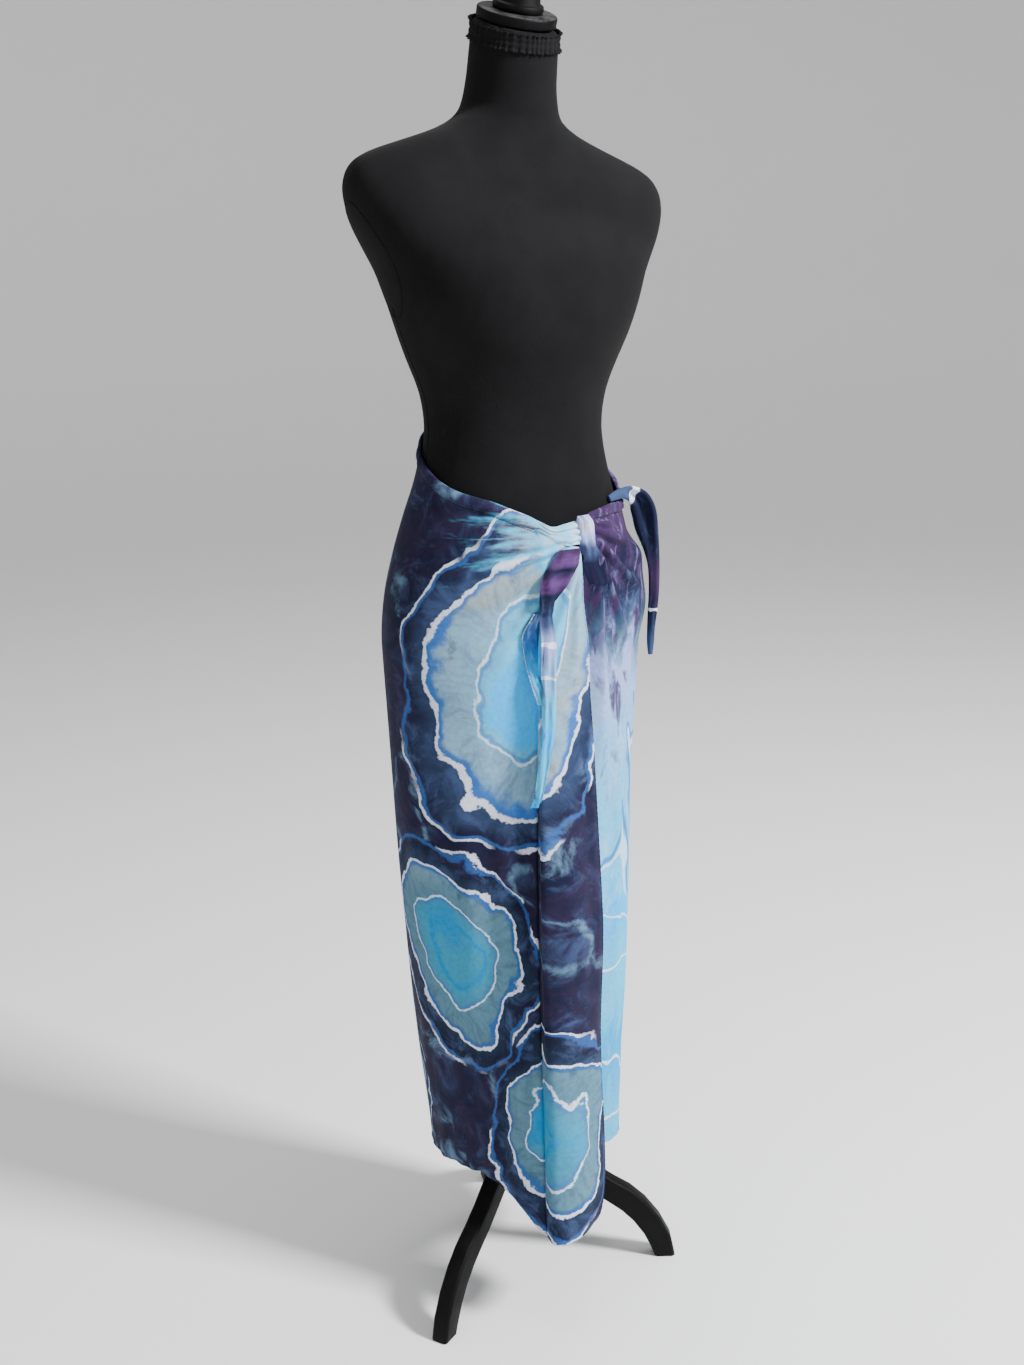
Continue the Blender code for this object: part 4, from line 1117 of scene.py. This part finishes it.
class SARONG_OT_neck_band(bpy.types.Operator):
    """Gathered elastic band round the neck, with ruffled overlocked edges"""

    bl_idname = "sarong.neck_band"
    bl_label = "Neck band"

    def execute(self, context):
        looks = context.scene.sarong_form
        turns = np.linspace(0, math.tau, BAND_TURNS, endpoint=False)
        rows = []
        for share in np.linspace(1.0, 0.0, BAND_LEVELS):
            centre, radius, tilt = neck_axis(BAND_LOW + (BAND_HIGH - BAND_LOW) * share)
            lean = Matrix.Rotation(tilt, 3, "X")
            edge = abs(2 * share - 1) ** 3
            ripple = np.sin(turns * 46 + 2.2 * np.sin(turns * 7)) * (0.0004 + 0.0009 * edge)
            ripple = ripple + 0.0007 * edge * np.sin(turns * 83 + 1.3)
            out = radius + 0.0014 + looks.ruffle * edge * 0.45 + 0.0005 * math.cos(share * 18) + ripple
            rise = 0.0007 * edge * np.sin(turns * 31 + 5 * share)
            for turn, far, up in zip(turns, out, rise):
                rows.append(centre + lean @ Vector((far * math.sin(turn), -far * math.cos(turn), up)))
        item = new_mesh("neck_elastic", rows, grid_faces(BAND_LEVELS, BAND_TURNS, closed=True))
        modify(item, "SOLIDIFY", thickness=ELASTIC, offset=-1)
        finish = jersey_material("neck_elastic", shade_of(looks.cover, 1.1), 0.95)
        settle(item, "form_jersey", finish, "neck_band")
        return {"FINISHED"}


def lathe(name, rows, sides):
    """A turned piece on the Z axis: a disc extruded and scaled up through (height, radius) rows."""
    low, radius = rows[0]
    bpy.ops.mesh.primitive_circle_add(vertices=sides, radius=radius, fill_type="NGON", location=(0, 0, low))
    item = bpy.context.object
    item.name = item.data.name = name
    edit_all(item)
    bpy.ops.mesh.flip_normals()
    for (low, before), (high, after) in zip(rows, rows[1:]):
        bpy.ops.mesh.extrude_region_move(TRANSFORM_OT_translate={"value": (0, 0, high - low)})
        scale = after / before
        bpy.ops.transform.resize(value=(scale, scale, 1), center_override=(0, 0, high))
    bpy.ops.object.mode_set(mode="OBJECT")
    face_out(item)
    bpy.ops.object.transform_apply(location=True, rotation=True, scale=True)
    return item


def turned(name, rows, sides, place, tilt, smooth, *edge):
    """A turned piece, its edges rounded if asked, leaned about X and set at its place for good."""
    item = lathe(name, rows, sides)
    if edge:
        bevel(item, *edge)
    smooth_edges(item, smooth)
    item.rotation_euler = (tilt, 0, 0)
    item.location = place
    select_only(item)
    bpy.ops.object.transform_apply(location=True, rotation=True, scale=True)
    return item


class SARONG_OT_neck_cap(bpy.types.Operator):
    """Turned wooden cap on the neck, its upper face worn grey"""

    bl_idname = "sarong.neck_cap"
    bl_label = "Neck cap"

    def execute(self, context):
        looks = context.scene.sarong_form
        top, _, tilt = neck_axis(NECK_ROWS[-1][1])
        rows = [(0.0003, CAP_RADIUS - 0.0006), (CAP_THICK + 0.0003, CAP_RADIUS - 0.0002)]
        item = turned("cap", rows, 96, top, tilt, 30, CAP_EDGE, 4, 40)
        axis = Matrix.Rotation(tilt, 3, "X") @ Vector((0, 0, 1))
        worn_above = axis.dot(top) + CAP_THICK - 0.0008
        finish = wood_material("cap_wood", tuple(looks.wood), looks.wood_rough, worn_above, tuple(axis))
        settle(item, "stand_wood", finish, "neck_cap")
        return {"FINISHED"}


class SARONG_OT_neck_knob(bpy.types.Operator):
    """Turned knob with a stepped, belled foot"""

    bl_idname = "sarong.neck_knob"
    bl_label = "Neck knob"

    def execute(self, context):
        looks = context.scene.sarong_form
        top, _, tilt = neck_axis(NECK_ROWS[-1][1])
        rows = [row[1:] for row in KNOB_ROWS[:4]]
        heights = np.linspace(KNOB_ROWS[4][1], KNOB_ROWS[-1][1], 30)
        rows += [(float(h), float(curve(KNOB_ROWS, h, 1))) for h in heights]
        rows = [(h + CAP_THICK + 0.0006, r) for h, r in rows]
        item = turned("knob", rows, 72, top, tilt, 40, 0.0006, 2, 50)
        finish = wood_material("knob_wood", tuple(looks.wood), looks.wood_rough)
        settle(item, "stand_wood", finish, "neck_knob")
        return {"FINISHED"}


class SARONG_OT_stand_pole(bpy.types.Operator):
    """Plain enamelled pole"""

    bl_idname = "sarong.stand_pole"
    bl_label = "Pole"

    def execute(self, context):
        looks = context.scene.sarong_form
        low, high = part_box("pole")
        rows = [(low.z, POLE_RADIUS), (high.z, POLE_RADIUS)]
        item = turned("pole_tube", rows, 64, POLE, 0.0, 30)
        finish = wood_material("pole_enamel", tuple(looks.pole), 0.33)
        settle(item, "pole_metal", finish, "pole")
        return {"FINISHED"}


class SARONG_OT_stand_hub(bpy.types.Operator):
    """Turned hub that the legs join"""

    bl_idname = "sarong.stand_hub"
    bl_label = "Hub"

    def execute(self, context):
        looks = context.scene.sarong_form
        item = turned("hub_turned", [row[1:] for row in HUB_ROWS], 72, POLE, 0.0, 35, 0.0012, 3, 30)
        finish = wood_material("hub_wood", tuple(looks.wood), looks.wood_rough)
        settle(item, "stand_wood", finish, "hub")
        return {"FINISHED"}


class SARONG_OT_stand_legs(bpy.types.Operator):
    """Three curved wooden legs, rounded along their edges"""

    bl_idname = "sarong.stand_legs"
    bl_label = "Legs"

    def execute(self, context):
        looks = context.scene.sarong_form
        finish = wood_material("leg_wood", tuple(looks.wood), looks.wood_rough)
        for side in ("left", "right", "back"):
            item = copy_of(f"leg_{side}", f"leg_{side}_shaped")
            edit_all(item)
            bpy.ops.mesh.dissolve_limited(angle_limit=math.radians(1.0))
            bpy.ops.object.mode_set(mode="OBJECT")
            bevel(item, looks.leg_bevel, 3, 25)
            smooth_edges(item, 40)
            settle(item, "stand_wood", finish, f"leg_{side}")
        return {"FINISHED"}


def lap_edge(share):
    """Azimuth of the front lap's free edge at shares of the way down."""
    azimuth = np.full(np.shape(share), TURN + LAP_EDGE_ROWS[0][2])
    for _ in range(3):
        azimuth = TURN + curve(LAP_EDGE_ROWS, cloth_height(azimuth, share), 1)
    return azimuth


# Where the grid starts to follow the lap's edge, where it ends and where it starts: azimuths.
LAP_FROM = 296.0
LAP_LAST = 382.0
CLOTH_FIRST = -40
# Small waves of the hem: size, how often they come in a turn, start.
HEM_WAVES = ((0.0016, 13, 1.0), (0.0007, 31, 0.0))
# Stretches of the cloth's grid: from, to, columns.
STRETCHES = ((CLOTH_FIRST, 8, 12), (8, 80, 112), (80, 105, 18), (105, 240, 62), (240, LAP_FROM, 46))


def cloth_grid(columns, shares):
    """Azimuths and heights of a grid over the cloth. Its last stretch follows the lap's slanting edge."""
    azimuth, share = np.meshgrid(columns, shares)
    stretch = (lap_edge(share) - LAP_FROM) / (LAP_LAST - LAP_FROM)
    azimuth = np.where(azimuth > LAP_FROM, LAP_FROM + (azimuth - LAP_FROM) * stretch, azimuth)
    height = cloth_height(azimuth, share)
    wavy = sum(size * np.sin(np.radians(azimuth) * often + start) for size, often, start in HEM_WAVES)
    return azimuth, height + wavy * ease_step(0.96, 1.0, share)


def dye_at(azimuth, height):
    """Texture coordinates of the dye, in metres along the cloth and up it. The pleat hides a part of it."""
    tuck = ease_step(PLEAT_AZIMUTH - 1.4, PLEAT_AZIMUTH + 0.4, azimuth) * ease_step(0.97, 0.72, height)
    along = np.radians(azimuth) * DYE_RADIUS + PLEAT_TUCK * tuck
    along, up = np.broadcast_arrays(along, height + 0.3 * PLEAT_TUCK * tuck)
    return np.stack([along, up], axis=-1)


def looks_of(context):
    """The sarong's settings and its one material of dye and painted highlights, made on first use."""
    looks = context.scene.sarong_cloth
    finish = bpy.data.materials.get("sarong_dye_and_highlights") or dye_and_highlight_material("sarong_dye_and_highlights", looks)
    return looks, finish


class SARONG_OT_cloth(bpy.types.Operator):
    """The wound cloth, from its hidden edge under the front lap to the lap's free edge"""

    bl_idname = "sarong.cloth"
    bl_label = "Cloth"

    def execute(self, context):
        looks, finish = looks_of(context)
        columns = [np.linspace(a, b, n, endpoint=False) for a, b, n in STRETCHES]
        columns = np.concatenate(columns + [np.linspace(LAP_FROM, LAP_LAST, 180)])
        shares = np.concatenate([np.linspace(0, 0.2, 60, endpoint=False), np.linspace(0.2, 1, 150)])
        azimuth, height = cloth_grid(columns, shares)
        points = cloth_skin(azimuth, height, np.full(azimuth.shape, CLOTH))
        faces = grid_faces(len(shares), len(columns))
        item = new_mesh("sarong_cloth", points, faces, dye_at(azimuth, height))
        settle(item, "sarong_jersey", finish, "under_lap", "back_wrap", "front_lap")

        along, down = cloth_grid(np.linspace(CLOTH_FIRST, LAP_LAST, 620), np.array([1.0]))
        rising = np.linspace(0.995, 0.04, 300)
        free, up = cloth_grid(np.array([LAP_LAST]), rising)
        azimuth = np.concatenate([along[0], free[:, 0]])
        height = np.concatenate([down[0], up[:, 0]])
        path = cloth_skin(azimuth, height, np.full(azimuth.shape, CLOTH * 0.7))
        thread = 1 + 0.18 * np.sin(np.arange(len(path)) * 2.4)
        edge = tube("serged_edge", path, looks.edge_half * thread, 7, dye_at(azimuth, height))
        settle(edge, "sarong_jersey", finish)
        return {"FINISHED"}


def strap_section(name, stations, section):
    """A closed roll on the cloth. stations hold azimuth, top and size; section holds (down, out) pairs."""
    azimuth, top, size = (np.array(column, float)[:, None] for column in zip(*stations))
    down, out = (np.array(column)[None, :] for column in zip(*section))
    height = top - down * size
    swell = 1 + 0.10 * np.sin(np.radians(azimuth) * 37 + 1.5 * np.sin(np.radians(azimuth) * 11))
    where = np.broadcast_to(azimuth, height.shape)
    points = cloth_skin(where, height, out * swell * size)
    return new_mesh(name, points, ring_faces(*height.shape), dye_at(where, height))


# The sections of the folded band and of the roll: how far down from the top edge, how far out.
BAND_SECTION = [
    (0.0134, 0.0012),
    (0.0132, 0.0028),
    (0.0122, 0.0042),
    (0.0100, 0.0050),
    (0.0070, 0.0053),
    (0.0040, 0.0052),
    (0.0012, 0.0046),
    (-0.0006, 0.0036),
    (-0.0012, 0.0024),
    (-0.0008, 0.0012),
    (0.0010, 0.0006),
    (0.0060, 0.0006),
]
ROLL_SECTION = [
    (0.0112, 0.0012),
    (0.0110, 0.0036),
    (0.0096, 0.0058),
    (0.0076, 0.0062),
    (0.0060, 0.0056),
    (0.0044, 0.0064),
    (0.0020, 0.0068),
    (0.0000, 0.0058),
    (-0.0013, 0.0038),
    (-0.0012, 0.0020),
    (0.0010, 0.0006),
    (0.0060, 0.0006),
]


# The stitches: how far under the top edge, and the radius at which their length is turned to degrees.
STITCH_DROP = 0.0152
STITCH_RADIUS = 0.12
THREAD_DARK = (0.010, 0.012, 0.032)
THREAD_LIGHT = (0.030, 0.036, 0.085)


class SARONG_OT_top_band(bpy.types.Operator):
    """Folded band along the top edge with its row of stitches, and the roll on the under lap"""

    bl_idname = "sarong.top_band"
    bl_label = "Top band"

    def execute(self, context):
        looks, finish = looks_of(context)
        turns = np.linspace(104.0, BAND_END + 3.0, 420)
        tops = curve(CLOTH_ROWS, turns, 1)
        size = 1 - 0.35 * ease_step(BAND_END - 12, BAND_END + 3, turns)
        item = strap_section("folded_band", list(zip(turns, tops, size)), BAND_SECTION)
        settle(item, "sarong_jersey", finish, "top_band")
        turns = np.linspace(ROLL_START - 3, 106.0, 150)
        tops = curve(CLOTH_ROWS, turns, 1)
        size = 0.65 + 0.35 * ease_step(ROLL_START - 3, ROLL_START + 10, turns)
        item = strap_section("gathered_roll", list(zip(turns, tops, size)), ROLL_SECTION)
        settle(item, "sarong_jersey", finish, "under_lap_roll")

        items = []
        azimuth = 107.0
        while azimuth < BAND_END - 2:
            span = math.degrees(looks.stitch / STITCH_RADIUS)
            turns = np.linspace(azimuth, azimuth + span, 4)
            heights = curve(CLOTH_ROWS, turns, 1) - STITCH_DROP
            path = cloth_skin(turns, heights, np.array([0.0015, 0.0020, 0.0020, 0.0015]))
            items.append(tube("stitch", path, 0.00032, 5, dye_at(turns, heights)))
            azimuth += math.degrees(looks.stitch_step / STITCH_RADIUS)
        item = join("band_stitches", items)
        thread = noise_material("stitch_thread", 0.8, THREAD_DARK, THREAD_LIGHT, 1400.0, 1.0)
        settle(item, "sarong_jersey", thread)
        return {"FINISHED"}


class SARONG_OT_knot(bpy.types.Operator):
    """The gathers that run into the knot and the turn of cloth over it"""

    bl_idname = "sarong.knot"
    bl_label = "Knot"

    def execute(self, context):
        looks = context.scene.sarong_cloth
        turns = np.linspace(GATHER_FROM, 376.0, 110)
        across = np.linspace(-1.0, 1.0, 73)
        middle, half, thick = (curve(GATHER_ROWS, turns, c) for c in (1, 2, 3))
        late = ease_step(GATHER_FROM, GATHER_FROM + 5.0, turns)
        wander = across[None, :] + 0.10 * np.sin(np.radians(turns) * 9)[:, None]
        ridge = np.abs(np.cos(wander * math.pi * (GATHER_PLEATS + 0.5) / 2)) ** 0.7
        dome = np.sqrt(np.clip(1 - across**2, 0, 1)) ** 0.8
        lift = (thick * late)[:, None] * dome[None, :] * (0.38 + 0.62 * ridge)
        height = middle[:, None] - across[None, :] * half[:, None]
        where = np.broadcast_to(turns[:, None], height.shape)
        points = cloth_skin(where, height, CLOTH - 0.0003 + lift)
        uv = dye_at(where, height)
        faces = grid_faces(len(across), len(turns))
        item = new_mesh("gathers", points.transpose(1, 0, 2), faces, uv.transpose(1, 0, 2))
        light = blend(looks.resist, looks.aqua)
        stops = [
            (0.0, tuple(looks.slate)),
            (0.15, tuple(looks.pale)),
            (0.38, light),
            (0.62, blend(light, looks.aqua)),
            (0.80, light),
            (1.0, blend(light, looks.resist)),
        ]
        layer = item.data.uv_layers["cloth"]
        flat = np.empty(len(item.data.loops) * 2, np.float32)
        layer.data.foreach_get("uv", flat)
        flat = flat.reshape(-1, 2)
        start = math.radians(GATHER_FROM) * DYE_RADIUS
        flat = np.stack([flat[:, 1] - 1.02, flat[:, 0] - start], axis=1)
        layer.data.foreach_set("uv", flat.astype(np.float32).ravel())
        dye_tie(item, "knot_gather", "gather_dye", stops, [], looks.aqua, looks, 0.085)

        rows = resample(WRAP_ROWS + [WRAP_MERGE], 130)
        across = np.linspace(-1.25, 1.25, 61)
        height, azimuth, half, base, thick = (rows[:, c][:, None] for c in range(5))
        turn = azimuth + np.degrees(across[None, :] * half / base)
        dome = np.sqrt(np.clip(1 - (across / 1.25) ** 2, 0, 1))[None, :]
        over = np.sqrt(np.clip(1 - (np.clip(height - WRAP_OVER, 0, None) / WRAP_ROUND) ** 2, 0, 1))
        pleats = 0.0011 * np.cos(across[None, :] * 6.0 + (height - 1.02) * 90.0) * dome
        reach = base - 0.0015 + ((thick + 0.0015) * (0.10 + 0.90 * dome) + pleats) * over
        merged = ease_step(1.012, 0.984, height)
        skin = cloth_radius(turn, height) + CLOTH + 0.0004 + 0.0008 * dome
        reach = reach * (1 - merged) + skin * merged
        points = radial(turn, reach, height)
        flat = np.stack(np.broadcast_arrays(across[None, :] * half, 1.05 - height), axis=-1)
        item = new_mesh("knot_turn", points, grid_faces(*turn.shape), flat)
        stops = [
            (0.0, tuple(looks.lilac)),
            (0.18, blend(looks.lilac, looks.resist)),
            (0.34, tuple(looks.lilac)),
            (0.50, tuple(looks.slate)),
            (0.75, tuple(looks.navy)),
            (1.0, tuple(looks.navy)),
        ]
        dye_tie(item, "knot_wrap", "wrap_dye", stops, [], looks.plum, looks, 0.088)
        return {"FINISHED"}


def lap_skin(azimuth, height):
    turns = np.array([-1, -0.5, 0, 0.5, 1]) * LAP_REACH
    radii = [cloth_radius(azimuth + TURN + turn, height) for turn in turns]
    return CLOTH + np.max(radii, axis=0)


def run_of(path):
    """How far along a path each of its points lies."""
    return np.concatenate([[0.0], np.cumsum(np.linalg.norm(np.diff(path, axis=0), axis=1))])


def tail_ring(rows, count, sides):
    """A folded strap on the front lap: closed rings with a rounded outer face and creases along it."""
    table = resample(rows, count)
    azimuth, height, half, off, thick = (table[:, c][:, None] for c in range(5))
    turn = (np.arange(sides) * math.tau / sides)[None, :]
    across = np.sign(np.cos(turn)) * np.abs(np.cos(turn)) ** 0.8
    where = azimuth + np.degrees(across * half / LAP_RADIUS)
    base = lap_skin(azimuth, height)
    depth = 0.5 + 0.5 * np.sin(turn) * (0.55 + 0.45 * np.abs(np.sin(turn)))
    share = np.linspace(0, 1, count)[:, None]
    waves = np.cos(across * 5.5 + 1.1 + 2.5 * np.sin(share * 11)) + 0.6 * np.cos(across * 9 - share * 30)
    crease = (0.0009 + 0.0017 * half / 0.011) * waves * np.clip(np.sin(turn), 0, 1)
    reach = base + off + 0.0012 + thick * depth + np.clip(crease, -0.3 * thick, 0.003)
    points = radial(where, reach, height)
    along = run_of(points.mean(axis=1))
    flat = np.stack(np.broadcast_arrays(across * half, along[:, None]), axis=-1)
    return points, flat, along[-1]


def ring_mesh(name, points, flat):
    item = new_mesh(name, points, ring_faces(*points.shape[:2]), flat)
    face_out(item)
    return item


class SARONG_OT_ties(bpy.types.Operator):
    """The two ties that hang from the knot"""

    bl_idname = "sarong.ties"
    bl_label = "Ties"

    def execute(self, context):
        looks = context.scene.sarong_cloth
        navy, plum, slate, halo = looks.navy, looks.plum, looks.slate, looks.halo
        lilac, pale, aqua, cyan = looks.lilac, looks.pale, looks.aqua, looks.cyan
        points, flat, length = tail_ring(TAIL_LEFT_ROWS, 150, 28)
        item = ring_mesh("tie_left", points, flat)
        # Its purple top is painted in stripes, lighter plum between navy ones: painted highlight and shade
        # of the folds there, over the plum and navy dye.
        fold_highlight = shade_of(plum, 2.2)
        stops = [(0.0, plum), (0.05, fold_highlight), (0.09, navy), (0.14, fold_highlight), (0.20, navy)]
        stops += [(0.29, slate), (0.38, lilac), (0.52, blend(lilac, aqua)), (0.60, aqua)]
        stops += [(0.72, cyan), (0.88, aqua), (1.0, cyan)]
        bands = [(0.375, 0.007), (0.50, 0.006)]
        dye_tie(item, "tail_left", "tie_left_dye_and_highlights", stops, bands, plum, looks, length)
        points, flat, length = tail_ring(TAIL_FOLD_ROWS, 60, 20)
        left_edge = points[:, 10]
        item = ring_mesh("tie_left_back", points, flat)
        stops = [(0.0, slate), (0.3, halo), (0.7, cyan), (1.0, aqua)]
        dye_tie(item, "tail_left_fold", "tie_back_dye", stops, [], pale, looks, length)

        out = np.array((math.cos(math.radians(VIEW)), math.sin(math.radians(VIEW)), 0))
        deep = np.array((-out[1], out[0], 0))
        table = resample(TAIL_RIGHT_ROWS, 150)
        path = np.array(POLE) + out * table[:, :1] + deep * table[:, 1:2]
        path = path + np.array((0, 0, 1)) * table[:, 2:3]
        ahead = np.gradient(path, axis=0)
        ahead /= np.linalg.norm(ahead, axis=1, keepdims=True)
        wide = np.cross(ahead, deep)
        wide /= np.linalg.norm(wide, axis=1, keepdims=True)
        thick = np.cross(wide, ahead)
        sides = 28
        turn = np.arange(sides) * math.tau / sides
        squared = np.sign(np.cos(turn)) * np.abs(np.cos(turn)) ** 0.8
        share = np.linspace(0, 1, 150)[:, None]
        curl = ease_step(0.12, 0.24, share) * ease_step(0.62, 0.34, share)
        facing = np.sign((thick @ -deep).mean())
        hollow = curl * np.exp(-(((np.cos(turn) + 0.15) / 0.42) ** 2)) * (facing * np.sin(turn) > 0)
        crease = (1 + 0.12 * np.cos(turn * 5 + 0.7 + share * 8)) * (1 - 1.25 * hollow)
        inward = 1 + 0.55 * curl * np.clip(-squared, 0, 1)
        points = (
            path[:, None]
            + wide[:, None] * (table[:, 3][:, None] * squared * inward)[..., None]
            + thick[:, None] * (table[:, 4][:, None] * np.sin(turn) * crease)[..., None]
        )
        along = run_of(path)
        flat = np.stack(np.broadcast_arrays(table[:, 3][:, None] * squared, along[:, None]), axis=-1)
        item = ring_mesh("tie_right", points, flat)
        stops = [(0.0, slate), (0.12, slate), (0.20, navy), (0.45, navy)]
        stops += [(0.60, plum), (0.80, navy), (1.0, slate)]
        bands = [(0.155, 0.012), (0.775, 0.008)]
        dye_tie(item, "tail_right", "tie_right_dye", stops, bands, slate, looks, along[-1])

        edges = []
        for path in (left_edge, points[20:80, 14]):
            thread = 0.0005 * (1 + 0.35 * np.sin(np.arange(len(path)) * 2.4))
            edges.append(tube("edge", path, thread, 6))
        item = join("tie_edges", edges)
        thread = noise_material("edge_thread", 0.8, pale, looks.resist, 900.0, 2.0, (0.4, 0.6))
        settle(item, "sarong_jersey", thread)
        return {"FINISHED"}


# The floor and its far walls: height, radius.
FLOOR_ROWS = [
    (5.0, 9.0),
    (2.4, 8.9),
    (1.2, 8.5),
    (0.5, 7.8),
    (0.15, 6.9),
    (0.02, 6.0),
    (0.0, 5.0),
    (0.0, 0.5),
]
# The lights: place, size and power in watts. The sky's strength follows.
LIGHT_ROWS = [
    ("key", (1.9, -2.6, 3.2), 0.7, 430.0),
    ("fill", (-2.8, -1.6, 1.8), 2.4, 24.0),
    ("top", (0.2, 0.2, 4.0), 1.6, 60.0),
]
SKY = 0.42


class SARONG_OT_stage(bpy.types.Operator):
    """Pale floor, soft light and the camera at the photograph's place"""

    bl_idname = "sarong.stage"
    bl_label = "Stage"

    def execute(self, context):
        look = context.scene.sarong_stage
        floor = lathe("floor", [(height - 0.0005, radius) for height, radius in FLOOR_ROWS], 96)
        select_only(floor)
        bpy.ops.object.mode_set(mode="EDIT")
        bpy.ops.mesh.select_all(action="DESELECT")
        bpy.ops.object.mode_set(mode="OBJECT")
        lid = max(floor.data.polygons, key=lambda face: face.center.z)
        lid.select = True
        bpy.ops.object.mode_set(mode="EDIT")
        bpy.ops.mesh.select_mode(type="FACE")
        bpy.ops.mesh.delete(type="ONLY_FACE")
        bpy.ops.object.mode_set(mode="OBJECT")
        bpy.ops.object.shade_smooth()
        finish = noise_material("floor_pale", 0.9, shade_of(look.floor, 0.985), look.floor, 3.0, 3.0)
        floor.data.materials.append(finish)

        sky = bpy.data.worlds.new("studio")
        sky.use_nodes = True
        background = sky.node_tree.nodes["Background"].inputs
        background["Color"].default_value = (1.0, 1.0, 1.0, 1.0)
        background["Strength"].default_value = SKY
        context.scene.world = sky
        for name, place, size, power in LIGHT_ROWS:
            light = bpy.data.lights.new(name, "AREA")
            light.energy = power
            light.size = size
            lamp = bpy.data.objects.new(name, light)
            context.scene.collection.objects.link(lamp)
            lamp.location = place
            aim = Vector((0, 0, 0.8)) - lamp.location
            lamp.rotation_euler = aim.to_track_quat("-Z", "Y").to_euler()

        across = Vector((math.cos(look.azimuth), math.sin(look.azimuth), 0))
        ahead = Vector((-math.sin(look.azimuth), math.cos(look.azimuth), 0))
        up = ahead * math.sin(look.pitch) + Vector((0, 0, math.cos(look.pitch)))
        back = -ahead * math.cos(look.pitch) + Vector((0, 0, math.sin(look.pitch)))
        data = bpy.data.cameras.new("camera")
        data.lens = look.lens
        data.sensor_width = 36.0
        camera = bpy.data.objects.new("camera", data)
        context.scene.collection.objects.link(camera)
        frame_of_view = Matrix((across, up, back)).transposed() @ Matrix.Rotation(-look.roll, 3, "Z")
        place = POLE - across * look.aside - ahead * look.away + Vector((0, 0, look.eye))
        camera.matrix_world = Matrix.Translation(place) @ frame_of_view.to_4x4()
        context.scene.camera = camera
        return {"FINISHED"}


OPERATORS = (
    SARONG_OT_form_cover,
    SARONG_OT_form_seams,
    SARONG_OT_neck_band,
    SARONG_OT_neck_cap,
    SARONG_OT_neck_knob,
    SARONG_OT_stand_pole,
    SARONG_OT_stand_hub,
    SARONG_OT_stand_legs,
    SARONG_OT_cloth,
    SARONG_OT_top_band,
    SARONG_OT_knot,
    SARONG_OT_ties,
    SARONG_OT_stage,
)
GROUPS = (
    ("sarong_form", SarongFormSettings),
    ("sarong_cloth", SarongClothSettings),
    ("sarong_stage", SarongStageSettings),
)


class SARONG_PT_panel(bpy.types.Panel):
    """Buttons for the pieces, in the order they are made"""

    bl_idname = "SARONG_PT_panel"
    bl_label = "Sarong"
    bl_space_type = "VIEW_3D"
    bl_region_type = "UI"
    bl_category = "Sarong"

    def draw(self, context):
        for operator in OPERATORS:
            self.layout.operator(operator.bl_idname)


def register():
    for name, group in GROUPS:
        bpy.utils.register_class(group)
        setattr(bpy.types.Scene, name, bpy.props.PointerProperty(type=group))
    for kind in (*OPERATORS, SARONG_PT_panel):
        bpy.utils.register_class(kind)


def unregister():
    for kind in reversed((*OPERATORS, SARONG_PT_panel)):
        bpy.utils.unregister_class(kind)
    for name, group in reversed(GROUPS):
        delattr(bpy.types.Scene, name)
        bpy.utils.unregister_class(group)


def main():
    register()
    for operator in OPERATORS:
        group, name = operator.bl_idname.split(".")
        getattr(getattr(bpy.ops, group), name)()


if __name__ == "__main__":
    main()
